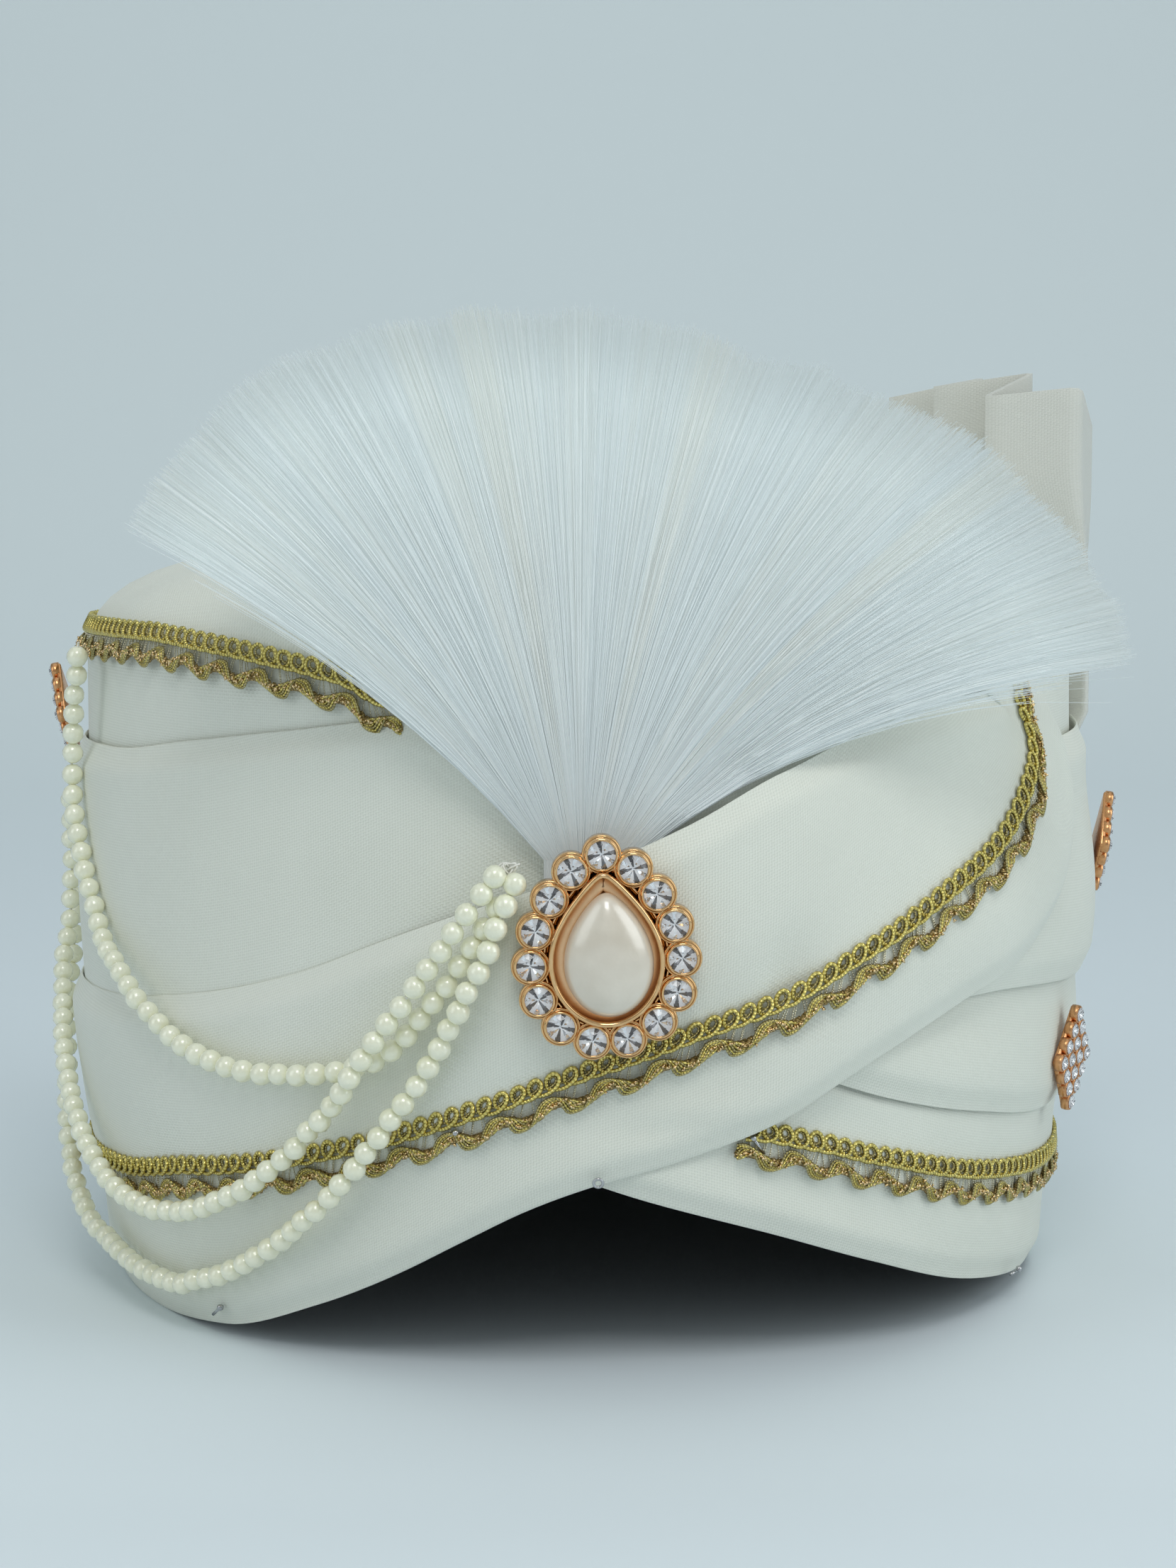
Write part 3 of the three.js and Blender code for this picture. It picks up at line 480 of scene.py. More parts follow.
def columns(names, rows):
    return {name: column([row[i] for row in rows]) for i, name in enumerate(names)}


def smooth_step(low, high, value):
    t = np.clip((value - low) / (high - low), 0, 1)
    return t * t * (3 - 2 * t)


def band_spot(read, place, share):
    """Turn, height and seat of a share of a band's width."""
    turn = read["turn"](place) + read["lean"](place) * share
    height = read["low"](place) + (read["high"](place) - read["low"](place)) * share
    drop = smooth_step(*SEAT_CHANGE, share)
    seat = read["seat_low"](place) + (read["seat_high"](place) - read["seat_low"](place)) * drop
    return turn, height, seat + SEAT_SLACK


def band_width(read, place):
    low = crown_surface(read["turn"](place), read["low"](place))
    high = crown_surface(read["turn"](place) + read["lean"](place), read["high"](place))
    return np.linalg.norm(high - low, axis=-1)


def run_lengths(points):
    return np.concatenate([[0.0], np.cumsum(np.linalg.norm(np.diff(points, axis=0), axis=1))])


def band_places(read, rows, step):
    fine = np.linspace(0, len(rows) - 1, 60 * len(rows))
    middle = crown_surface(read["turn"](fine), (read["low"](fine) + read["high"](fine)) / 2)
    run = run_lengths(middle)
    wanted = np.linspace(0, run[-1], max(2, int(run[-1] / step)))
    return np.interp(wanted, run, fine), wanted


def soft_noise(seed, along_mm, across_mm, waves=7):
    """A smooth uneven field over a band, from a handful of slow waves."""
    picks = np.random.default_rng(seed)
    along_rate = picks.uniform(0.5, 1.4, waves) * 2 * math.pi / along_mm
    across_rate = picks.uniform(-1.3, 1.3, waves) * 2 * math.pi / across_mm
    phase = picks.uniform(0, 2 * math.pi, waves)

    def field(along, across):
        total = 0
        for a, b, p in zip(along_rate, across_rate, phase):
            total = total + np.sin(a * along + b * across + p)
        return total / math.sqrt(waves)

    return field


# Mesh building

def mesh_piece(
    name, points, faces, materials, uv=None, face_material=None, smooth=True, tint=None, along=None
):
    """A piece from points in millimetres and one or more arrays of faces."""
    points = np.asarray(points, float) * MM + OVAL_CENTRE
    faces = [np.asarray(f, np.int32) for f in faces if len(f)]
    corners = np.concatenate([f.ravel() for f in faces])
    sizes = np.concatenate([np.full(len(f), f.shape[1]) for f in faces])
    starts = np.concatenate([[0], np.cumsum(sizes)[:-1]]).astype(np.int32)
    mesh = bpy.data.meshes.new(name)
    mesh.vertices.add(len(points))
    mesh.vertices.foreach_set("co", points.ravel())
    mesh.loops.add(len(corners))
    mesh.loops.foreach_set("vertex_index", corners)
    mesh.polygons.add(len(sizes))
    mesh.polygons.foreach_set("loop_start", starts)
    mesh.update(calc_edges=True)
    if uv is not None:
        layer = mesh.uv_layers.new(name="cloth_mm")
        layer.data.foreach_set("uv", np.asarray(uv, float)[corners].ravel())
    for label, values in (("tint", tint), ("along", along)):
        if values is not None:
            attribute = mesh.attributes.new(label, "FLOAT", "POINT")
            attribute.data.foreach_set("value", np.asarray(values, float))
    for material in materials:
        mesh.materials.append(material)
    if face_material is not None:
        mesh.polygons.foreach_set("material_index", np.asarray(face_material, np.int32))
    mesh.polygons.foreach_set("use_smooth", np.full(len(sizes), smooth))
    mesh.validate()
    return linked(name, mesh)


def linked(name, data):
    made = bpy.data.objects.new(name, data)
    bpy.context.scene.collection.objects.link(made)
    return made


def grid_faces(rows, width, close_rows=False, close_width=False):
    r = np.arange(rows if close_rows else rows - 1)
    c = np.arange(width if close_width else width - 1)
    r, c = np.meshgrid(r, c, indexing="ij")
    r2 = (r + 1) % rows
    c2 = (c + 1) % width
    quads = np.stack([r * width + c, r2 * width + c, r2 * width + c2, r * width + c2], axis=-1)
    return quads.reshape(-1, 4)


def set_up(piece, slot, *nodes):
    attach(piece, BODY)
    if nodes:
        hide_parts(*nodes)
    return piece


def tubes(paths, normals, radius, sides):
    """Round threads along rows of points, all of one length: their points, side faces, ends and uv."""
    paths = np.asarray(paths, float)
    count, length, _ = paths.shape
    tangent = unit(np.gradient(paths, axis=1) + 1e-9)
    side = unit(np.cross(tangent, normals))
    up = np.cross(side, tangent)
    angle = np.arange(sides) * 2 * math.pi / sides
    radius = np.broadcast_to(radius, (count, length))
    sideways = np.cos(angle)[None, None, :, None]
    upwards = np.sin(angle)[None, None, :, None]
    ring = side[:, :, None] * sideways + up[:, :, None] * upwards
    points = paths[:, :, None] + ring * radius[:, :, None, None]
    one = grid_faces(length, sides, close_width=True)[:, ::-1]
    step = length * sides
    faces = (one[None] + (np.arange(count) * step)[:, None, None]).reshape(-1, 4)
    run = np.concatenate(
        [np.zeros((count, 1)), np.cumsum(np.linalg.norm(np.diff(paths, axis=1), axis=2), axis=1)], axis=1
    )
    uv = np.stack(np.broadcast_arrays(run[:, :, None], (angle / (2 * math.pi))[None, None, :]), axis=-1)
    ends = []
    first = np.arange(sides)
    for start in np.arange(count) * step:
        ends.append(start + first)
        ends.append(start + (length - 1) * sides + first[::-1])
    return points.reshape(-1, 3), faces, np.asarray(ends), uv.reshape(-1, 2)


class Heap:
    """Collects threads and copies into one piece, with a material number for each face."""

    def __init__(self):
        self.points = []
        self.uv = []
        self.faces = []
        self.total = 0

    def add(self, points, faces, uv=None):
        """Faces are pairs of an array, counted from the shape's own first point, and a material number."""
        self.faces += [(np.asarray(made) + self.total, material) for made, material in faces]
        self.points.append(points)
        self.uv.append(np.zeros((len(points), 2)) if uv is None else uv)
        self.total += len(points)

    def add_threads(self, paths, normals, radius, sides, material):
        points, quads, ends, uv = tubes(paths, normals, radius, sides)
        self.add(points, [(quads, material), (ends, material)], uv)

    def piece(self, name, materials, smooth=True):
        faces = []
        numbers = []
        for size in sorted({made.shape[1] for made, _ in self.faces}):
            same = [(made, material) for made, material in self.faces if made.shape[1] == size]
            faces.append(np.concatenate([made for made, _ in same]))
            numbers += [np.full(len(made), material) for made, material in same]
        return mesh_piece(
            name,
            np.concatenate(self.points),
            faces,
            materials,
            uv=np.concatenate(self.uv),
            face_material=np.concatenate(numbers),
            smooth=smooth,
        )


# Materials

def node_group(name, inputs, outputs):
    group = bpy.data.node_groups.new(name, "ShaderNodeTree")
    for label, kind in inputs:
        group.interface.new_socket(name=label, in_out="INPUT", socket_type=kind)
    for label, kind in outputs:
        group.interface.new_socket(name=label, in_out="OUTPUT", socket_type=kind)
    return group, group.nodes.new("NodeGroupInput"), group.nodes.new("NodeGroupOutput")


def math_node(tree, kind, a, b=None, c=None):
    node = tree.nodes.new("ShaderNodeMath")
    node.operation = kind
    for socket, value in zip(node.inputs, (a, b, c)):
        if value is None:
            continue
        if isinstance(value, (int, float)):
            socket.default_value = value
        else:
            tree.links.new(value, socket)
    return node.outputs[0]


def mix_colour(tree, factor, first, second):
    node = tree.nodes.new("ShaderNodeMix")
    node.data_type = "RGBA"
    for socket, value in ((node.inputs[0], factor), (node.inputs[6], first), (node.inputs[7], second)):
        if isinstance(value, tuple):
            socket.default_value = (*value, 1)
        elif isinstance(value, (int, float)):
            socket.default_value = value
        else:
            tree.links.new(value, socket)
    return node.outputs[2]


def noise(tree, vector, scale, detail=2.0):
    node = tree.nodes.new("ShaderNodeTexNoise")
    node.inputs["Scale"].default_value = scale
    node.inputs["Detail"].default_value = detail
    tree.links.new(vector, node.inputs["Vector"])
    return node.outputs["Fac"]


def make_weave_group():
    """Plain weave: threads that pass over and under each other, and a slow unevenness."""
    group, given, result = node_group(
        "plain_weave",
        [("Place", "NodeSocketVector"), ("Thread", "NodeSocketFloat")],
        [("Height", "NodeSocketFloat"), ("Shade", "NodeSocketFloat")],
    )
    split = group.nodes.new("ShaderNodeSeparateXYZ")
    group.links.new(given.outputs["Place"], split.inputs[0])
    rate = math_node(group, "DIVIDE", math.pi, given.outputs["Thread"])
    warp = math_node(group, "SINE", math_node(group, "MULTIPLY", split.outputs[0], rate))
    weft = math_node(group, "SINE", math_node(group, "MULTIPLY", split.outputs[1], rate))
    over = math_node(group, "GREATER_THAN", math_node(group, "MULTIPLY", warp, weft), 0.0)
    warp_hill = math_node(group, "MULTIPLY", warp, warp)
    weft_hill = math_node(group, "MULTIPLY", weft, weft)
    under = math_node(group, "SUBTRACT", 1.0, over)
    height = math_node(
        group,
        "ADD",
        math_node(group, "MULTIPLY", warp_hill, over),
        math_node(group, "MULTIPLY", weft_hill, under),
    )
    group.links.new(height, result.inputs["Height"])
    uneven = noise(group, given.outputs["Place"], 0.05, 3.0)
    hole = math_node(
        group,
        "MULTIPLY",
        math_node(group, "SUBTRACT", 1.0, warp_hill),
        math_node(group, "SUBTRACT", 1.0, weft_hill),
    )
    threads = math_node(group, "MULTIPLY_ADD", hole, -0.45, math_node(group, "MULTIPLY", height, 0.3))
    shade = math_node(group, "MULTIPLY_ADD", uneven, 0.5, math_node(group, "ADD", threads, 0.35))
    group.links.new(shade, result.inputs["Shade"])
    return group


def make_twist_group():
    """The slanting lines of a metal-wound thread. Place is along and round the thread."""
    group, given, result = node_group(
        "wound_thread",
        [("Place", "NodeSocketVector"), ("Pitch", "NodeSocketFloat")],
        [("Height", "NodeSocketFloat")],
    )
    split = group.nodes.new("ShaderNodeSeparateXYZ")
    group.links.new(given.outputs["Place"], split.inputs[0])
    along = math_node(group, "DIVIDE", split.outputs[0], given.outputs["Pitch"])
    turns = math_node(group, "MULTIPLY", math_node(group, "ADD", along, split.outputs[1]), 2 * math.pi)
    lines = math_node(group, "MULTIPLY_ADD", math_node(group, "SINE", turns), 0.5, 0.5)
    group.links.new(lines, result.inputs["Height"])
    return group


def new_material(name):
    material = bpy.data.materials.new(name)
    material.use_nodes = True
    tree = material.node_tree
    return material, tree, tree.nodes["Principled BSDF"]


def use_group(tree, group, **values):
    node = tree.nodes.new("ShaderNodeGroup")
    node.node_tree = group
    for label, value in values.items():
        if isinstance(value, (int, float)):
            node.inputs[label].default_value = value
        else:
            tree.links.new(value, node.inputs[label])
    return node


def bump(tree, shader, height, distance, strength):
    node = tree.nodes.new("ShaderNodeBump")
    node.inputs["Distance"].default_value = distance
    node.inputs["Strength"].default_value = strength
    tree.links.new(height, node.inputs["Height"])
    tree.links.new(node.outputs["Normal"], shader.inputs["Normal"])


def coords(tree, kind):
    return tree.nodes.new("ShaderNodeTexCoord").outputs[kind]


WEAVE = make_weave_group()
TWIST = make_twist_group()


def cloth_material(name, light, dark, thread, roughness, sheen):
    material, tree, shader = new_material(name)
    place = coords(tree, "UV")
    weave = use_group(tree, WEAVE, Place=place, Thread=thread)
    tree.links.new(mix_colour(tree, weave.outputs["Shade"], dark, light), shader.inputs["Base Color"])
    bump(tree, shader, weave.outputs["Height"], 0.00014, 0.35)
    shader.inputs["Roughness"].default_value = roughness
    shader.inputs["Specular IOR Level"].default_value = 0.35
    shader.inputs["Sheen Weight"].default_value = sheen
    shader.inputs["Sheen Roughness"].default_value = 0.4
    return material


def thread_material(name, light, dark, pitch, roughness, glitter=0.0):
    material, tree, shader = new_material(name)
    twist = use_group(tree, TWIST, Place=coords(tree, "UV"), Pitch=pitch)
    uneven = noise(tree, coords(tree, "Object"), 900.0, 2.0)
    lines = math_node(tree, "MULTIPLY", twist.outputs["Height"], 0.55)
    mask = math_node(tree, "MULTIPLY_ADD", uneven, 0.75, lines)
    colour = mix_colour(tree, mask, dark, light)
    if glitter:
        fine = noise(tree, coords(tree, "Object"), 4200.0, 0.0)
        speck = math_node(tree, "GREATER_THAN", fine, 0.6)
        colour = mix_colour(tree, math_node(tree, "MULTIPLY", speck, glitter), colour, (0.8, 0.54, 0.26))
    tree.links.new(colour, shader.inputs["Base Color"])
    bump(tree, shader, twist.outputs["Height"], 0.00015, 0.7)
    shader.inputs["Metallic"].default_value = 0.9
    shader.inputs["Roughness"].default_value = roughness
    return material


def metal_material(name, colour, deep, roughness):
    material, tree, shader = new_material(name)
    place = coords(tree, "Object")
    uneven = noise(tree, place, 700.0, 3.0)
    tree.links.new(mix_colour(tree, uneven, deep, colour), shader.inputs["Base Color"])
    rough = math_node(tree, "MULTIPLY_ADD", uneven, 0.14, roughness - 0.05)
    tree.links.new(rough, shader.inputs["Roughness"])
    bump(tree, shader, noise(tree, place, 1500.0, 2.0), 0.00003, 0.25)
    shader.inputs["Metallic"].default_value = 1.0
    return material


def pearl_material(name, light, dark, cloud, grain, depth, roughness, glow):
    material, tree, shader = new_material(name)
    place = coords(tree, "Object")
    cloudy = noise(tree, place, cloud, 2.0)
    tree.links.new(mix_colour(tree, cloudy, dark, light), shader.inputs["Base Color"])
    bump(tree, shader, noise(tree, place, grain, 2.0), depth, 0.6)
    shader.inputs["Roughness"].default_value = roughness
    shader.inputs["Specular IOR Level"].default_value = 0.9
    shader.inputs["Coat Weight"].default_value = 1.0
    shader.inputs["Coat Roughness"].default_value = 0.2
    shader.inputs["Coat IOR"].default_value = 1.85
    # Painted glow: a faint yellow emission stands in for light passing through the pearl.
    shader.inputs["Emission Color"].default_value = (1.0, 1.0, 0.6, 1)
    shader.inputs["Emission Strength"].default_value = glow
    return material


def stone_material():
    material, _, shader = new_material("clear_stone")
    shader.inputs["Base Color"].default_value = (0.97, 0.98, 1.0, 1)
    shader.inputs["Roughness"].default_value = 0.0
    shader.inputs["IOR"].default_value = 1.58
    shader.inputs["Transmission Weight"].default_value = 1.0
    return material


def foil_material(name, colour, roughness, metallic, painted_brilliance):
    material, tree, shader = new_material(name)
    cloudy = noise(tree, coords(tree, "Object"), 900.0, 1.0)
    dull = tuple(0.8 * c for c in colour)
    tree.links.new(mix_colour(tree, cloudy, dull, colour), shader.inputs["Base Color"])
    shader.inputs["Metallic"].default_value = metallic
    shader.inputs["Roughness"].default_value = roughness
    # Painted light: the foil glows, standing in for light sent back out through the stone.
    shader.inputs["Emission Color"].default_value = (0.96, 0.98, 1.0, 1)
    shader.inputs["Emission Strength"].default_value = painted_brilliance
    return material


def bristle_material():
    """Clear nylon: painted shade makes it deeper in the tight bundle at the foot, and a painted glow makes
    it whiter towards the ends, where light gets between them.
    """
    material, tree, shader = new_material("nylon_bristle")
    tint = tree.nodes.new("ShaderNodeAttribute")
    tint.attribute_name = "tint"
    along = tree.nodes.new("ShaderNodeAttribute")
    along.attribute_name = "along"
    # Painted shade: the colour darkens towards the foot of each bristle.
    spread = math_node(tree, "MULTIPLY", along.outputs["Fac"], 2.2)
    colour = mix_colour(tree, tint.outputs["Fac"], (0.73, 0.79, 0.805), (0.775, 0.795, 0.755))
    colour = mix_colour(tree, spread, (0.62, 0.66, 0.67), colour)
    tree.links.new(colour, shader.inputs["Base Color"])
    # Painted glow: the bristles glow as painted light, faintly at the foot and most at the tips.
    lit = mix_colour(tree, along.outputs["Fac"], (0.1, 0.11, 0.11), (0.91, 1.0, 1.0))
    tree.links.new(lit, shader.inputs["Emission Color"])
    shader.inputs["Emission Strength"].default_value = 0.215
    shader.inputs["Roughness"].default_value = 0.4
    shader.inputs["Specular IOR Level"].default_value = 0.4
    return material


def lining_material():
    material, tree, shader = new_material("dark_lining")
    place = coords(tree, "Object")
    grain = noise(tree, place, 1200.0, 3.0)
    shader.inputs["Roughness"].default_value = 0.95
    shader.inputs["Specular IOR Level"].default_value = 0.1
    colour = mix_colour(tree, grain, (0.075, 0.072, 0.062), (0.16, 0.154, 0.136))
    tree.links.new(colour, shader.inputs["Base Color"])
    bump(tree, shader, grain, 0.0002, 0.5)
    return material


def plain_material(name, colour, roughness):
    material, _, shader = new_material(name)
    shader.inputs["Base Color"].default_value = (*colour, 1)
    shader.inputs["Roughness"].default_value = roughness
    return material


IVORY = cloth_material(
    "ivory_satin", light=(0.83, 0.845, 0.765), dark=(0.68, 0.7, 0.62), thread=0.48, roughness=0.5, sheen=0.1
)
# Painted shade: the fan's ivory is set darker than the wraps' ivory.
FAN_CLOTH = cloth_material(
    "ivory_stiff_satin",
    light=(0.7, 0.705, 0.655),
    dark=(0.63, 0.635, 0.585),
    thread=0.32,
    roughness=0.45,
    sheen=0.1,
)
LINING = lining_material()
HEM = cloth_material(
    "grey_hem", light=(0.34, 0.34, 0.33), dark=(0.22, 0.22, 0.21), thread=0.7, roughness=0.9, sheen=0.0
)
BRIGHT_GOLD = thread_material(
    "bright_gold_thread", light=(0.9, 0.77, 0.26), dark=(0.34, 0.25, 0.05), pitch=0.6, roughness=0.28
)
OLD_GOLD = thread_material(
    "old_gold_thread", light=(0.62, 0.54, 0.26), dark=(0.2, 0.16, 0.06), pitch=0.5, roughness=0.36
)
GLITTER_GOLD = thread_material(
    "glitter_thread",
    light=(0.44, 0.32, 0.125),
    dark=(0.1, 0.074, 0.028),
    pitch=0.4,
    roughness=0.4,
    glitter=0.6,
)
PALE_GOLD = thread_material(
    "pale_metal_thread", light=(0.88, 0.85, 0.68), dark=(0.6, 0.55, 0.38), pitch=0.4, roughness=0.4
)
GOLD_SPECK = metal_material("gold_speck", (1.0, 0.84, 0.52), (0.8, 0.5, 0.22), roughness=0.14)
LACE_MATERIALS = [BRIGHT_GOLD, OLD_GOLD, GLITTER_GOLD, PALE_GOLD, GOLD_SPECK]
BRIGHT, OLD, GLITTER, PALE, SPECK = range(len(LACE_MATERIALS))
PEARL = pearl_material(
    "cream_pearl",
    light=(0.9, 0.91, 0.77),
    dark=(0.74, 0.745, 0.55),
    cloud=260.0,
    grain=1000.0,
    depth=0.0003,
    roughness=0.3,
    glow=0.06,
)
BLUSH_PEARL = pearl_material(
    "blush_pearl",
    light=(0.86, 0.8, 0.7),
    dark=(0.55, 0.46, 0.36),
    cloud=130.0,
    grain=420.0,
    depth=0.00026,
    roughness=0.28,
    glow=0.03,
)
ROSE_GOLD = metal_material("rose_gold", (0.95, 0.64, 0.35), (0.68, 0.38, 0.15), roughness=0.1)
PEACH_GOLD = metal_material("peach_gold", (1.0, 0.71, 0.45), (0.86, 0.52, 0.27), roughness=0.5)
COPPER = metal_material("copper_plate", (0.86, 0.47, 0.24), (0.58, 0.28, 0.11), roughness=0.26)
STEEL = metal_material("pin_steel", (0.6, 0.61, 0.63), (0.38, 0.38, 0.39), roughness=0.25)
# A clear stone, and three kinds of foil behind its back facets: a white foil with painted sparkle, a mirror
# foil, and a dark foil that is a painted dark reflection. All three also glow a little as painted light.
STONE_MATERIALS = [
    stone_material(),
    foil_material("stone_bright_foil_painted_sparkle", (0.99, 0.99, 1.0), roughness=0.3, metallic=0.1, painted_brilliance=0.15),
    foil_material("stone_mirror_foil", (0.97, 0.98, 0.99), roughness=0.05, metallic=1.0, painted_brilliance=0.05),
    foil_material("stone_dark_foil_painted_reflection", (0.2, 0.2, 0.21), roughness=0.2, metallic=1.0, painted_brilliance=0.02),
]
BRISTLE = bristle_material()
THREAD = plain_material("white_thread", (0.85, 0.84, 0.78), roughness=0.7)


# Crown and lining

def rim_height(turn):
    read = columns(MAIN_NAMES, MAIN_WRAP)
    first_turn = np.linspace(0, BROOCH_ROW, 2000)
    return np.interp(np.mod(turn, 360), read["turn"](first_turn), read["low"](first_turn))


def cap_piece(name, rim_lift, outside, inside, folds, materials):
    """A hollow cap from the rim to the middle of the dome."""
    turns = np.arange(0, 360, CAP_TURN_STEP)
    wall = np.linspace(0, 1, CAP_WALL_ROWS)
    dome = WALL_HEIGHT + DOME_ARC * np.array(CAP_DOME_SHARES)
    rims = rim_height(turns) + rim_lift
    heights = np.concatenate(
        [
            rims[:, None] + (WALL_HEIGHT - rims[:, None]) * wall[None],
            np.broadcast_to(dome, (len(turns), len(dome))),
        ],
        axis=1,
    )
    turn_grid = np.broadcast_to(turns[:, None], heights.shape)
    outer = crown_point(turn_grid, heights, outside + folds(turn_grid, heights))
    inner = crown_point(turn_grid, heights, inside)
    levels = heights.shape[1]
    section = np.concatenate([outer, inner[:, ::-1]], axis=1)
    around = 2 * levels
    rows = len(turns)
    faces = grid_faces(rows, around, close_rows=True, close_width=True)
    crown_step = (faces[:, 0] % around) != levels - 1
    quads = faces[crown_step]
    points = section.reshape(-1, 3)
    tops = []
    for side, ring_place in ((outside, levels - 1), (inside, levels)):
        ring = np.arange(rows) * around + ring_place
        pole = np.array([[0, 0, WALL_HEIGHT + DOME_RISE + side]])
        points = np.concatenate([points, pole])
        last = np.full(rows, len(points) - 1)
        after = np.roll(ring, -1)
        tops.append(np.stack([ring, after, last] if side == outside else [after, ring, last], axis=1))
    wall_uv = np.stack([np.radians(turn_grid) * WEAVE_RADIUS, heights], axis=-1)
    dome_uv = outer[..., :2]
    uv = np.where((heights > WALL_HEIGHT + FLAT_WEAVE_ABOVE)[..., None], dome_uv, wall_uv)
    uv = np.concatenate([uv, uv[:, ::-1]], axis=1).reshape(-1, 2)
    uv = np.concatenate([uv, np.zeros((2, 2))])
    hem = (quads[:, 0] % around) == around - 1
    numbers = np.concatenate([hem.astype(int) * (len(materials) - 1), np.zeros(2 * rows, int)])
    return mesh_piece(name, points, [quads, np.concatenate(tops)], materials, uv=uv, face_material=numbers)


def crown_folds(turn, height):
    angle = np.radians(turn)
    gathers = np.sin(angle * GATHERS + GATHER_WAVER * np.sin(angle * 3))
    shoulder = smooth_step(*GATHER_BEGIN, height) * (1 - smooth_step(*GATHER_FADE, height))
    slow = soft_noise(5, 160, 60)(angle * WEAVE_RADIUS, height)
    return GATHER_DEPTH * gathers * shoulder + CROWN_UNEVEN * slow - CROWN_SINK


def no_folds(turn, height):
    return np.zeros(np.broadcast(turn, height).shape)


def build_crown():
    crown = cap_piece("crown_cloth", CROWN_RIM_LIFT, 0, -CROWN_WALL, crown_folds, [IVORY])
    set_up(crown, "cloth", "crown_cover")
    lining = cap_piece(
        "dark_lining_shell", LINING_RIM_LIFT, BASE_OUTSIDE, BASE_INSIDE, no_folds, [LINING, HEM]
    )
    set_up(lining, "base", "base_shell")
    return crown, lining


# Wrapped bands

def band_piece(name, band_names, rows, folds):
    """A band of cloth with rolled edges, laid over the crown."""
    read = columns(band_names, rows)
    places, run = band_places(read, rows, BAND_STEP)
    share = 0.5 - 0.5 * np.cos(np.linspace(0, math.pi, BAND_COLUMNS))
    place_grid, share_grid = np.meshgrid(places, share, indexing="ij")
    run_grid = np.broadcast_to(run[:, None], place_grid.shape)
    turn, height, seat = band_spot(read, place_grid, share_grid)
    width = band_width(read, places)[:, None]
    near = np.clip(np.minimum(share_grid, 1 - share_grid) * width / EDGE_ROLL, 0, 1)
    round_edge = np.sqrt(np.maximum(0, 1 - (1 - near) ** 2))
    inwards = smooth_step(0, EDGE_FALL, np.minimum(share_grid, 1 - share_grid) * width)
    half = CLOTH_THICKNESS / 2 * (1 - EDGE_THINNING * (1 - inwards))
    rise = read["puff"](place_grid) * np.sin(math.pi * share_grid)
    rise = rise + folds(run_grid, place_grid, share_grid, turn, height) * round_edge
    slack = np.where(share_grid > 0.5, TOP_EDGE_SLACK, EDGE_SLACK)
    seat = seat - (SEAT_SLACK - slack) * (1 - inwards)
    outer = crown_point(turn, height, seat + half + half * round_edge + rise)
    inner = crown_point(turn, height, seat + half - half * round_edge + np.maximum(rise, 0) * 0.5)
    outer[..., 2] = np.maximum(outer[..., 2], 0)
    inner[..., 2] = np.maximum(inner[..., 2], 0)
    section = np.concatenate([outer, inner[:, -2:0:-1]], axis=1)
    around = section.shape[1]
    quads = grid_faces(len(places), around, close_width=True)
    flat = np.stack([run_grid, share_grid * width], axis=-1)
    uv = np.concatenate([flat, flat[:, -2:0:-1]], axis=1).reshape(-1, 2)
    caps = []
    triangles = []
    last = (len(places) - 1) * around
    for k in range(BAND_COLUMNS - 1):
        corners = [k, k + 1, (around - k - 1) % around, (around - k) % around]
        start_cap = list(dict.fromkeys(corners))
        end_cap = [last + v for v in start_cap[::-1]]
        for cap in (start_cap, end_cap):
            (caps if len(cap) == 4 else triangles).append(cap)
    faces = [quads, np.array(caps), np.array(triangles)]
    return mesh_piece(name, section.reshape(-1, 3), faces, [IVORY], uv=uv)


def dent(turn, height, turn_at, height_at, turn_size, height_size, depth):
    t = (turn - turn_at) / turn_size
    h = (height - height_at) / height_size
    return -depth * np.exp(-(t * t + h * h))


def main_folds(run, place, share, turn, height):
    slow = soft_noise(21, 120, 26)(run, share * 50)
    waver = 0.4 * np.sin(run / 18)
    drag = np.sin(share * DRAG_WAVES + waver) * np.exp(-np.abs(place - BROOCH_ROW) / DRAG_REACH)
    total = MAIN_UNEVEN * slow + DRAG_DEPTH * drag
    for row in MAIN_DENTS:
        total = total + dent(turn, height, *row)
    return total


def slow_folds(seed, along_mm, across_mm, width, depth):
    """A band that is only a little uneven."""
    field = soft_noise(seed, along_mm, across_mm)

    def folds(run, _place, share, _turn, _height):
        return depth * field(run, share * width)

    return folds


def build_wraps():
    plans = (
        ("wrap_main", MAIN_NAMES, MAIN_WRAP, main_folds),
        ("wrap_middle", BAND_NAMES, MIDDLE_WRAP, slow_folds(47, 120, 26, 35, 0.2)),
        ("wrap_upper", BAND_NAMES, UPPER_WRAP, slow_folds(33, 140, 30, 45, 0.25)),
    )
    return [set_up(band_piece(node + "_cloth", *plan), "cloth", node) for node, *plan in plans]


# Fan of stiff pleats

def fan_fold(turn, off, head_x, head_y, head_z):
    """A fold's line: upright at the foot and at the top, crossing over the crown's shoulder between."""
    level = np.linspace(0, 1, FAN_LEVELS)[:, None]
    foot = crown_point(turn, FAN_FOOT_HEIGHT, off)
    lean = smooth_step(*FAN_LEAN, level)
    share = np.concatenate([lean, lean, level], axis=1)
    shown = foot + (np.array([head_x, head_y, head_z]) - foot) * share
    tuck = crown_point(turn, FAN_TUCK_HEIGHT, FAN_TUCK_OFFSET + FAN_TUCK_SPREAD * off)
    hidden = tuck + (foot - tuck) * np.linspace(0, 1, FAN_TUCK_LEVELS, endpoint=False)[:, None]
    return np.concatenate([hidden, shown])


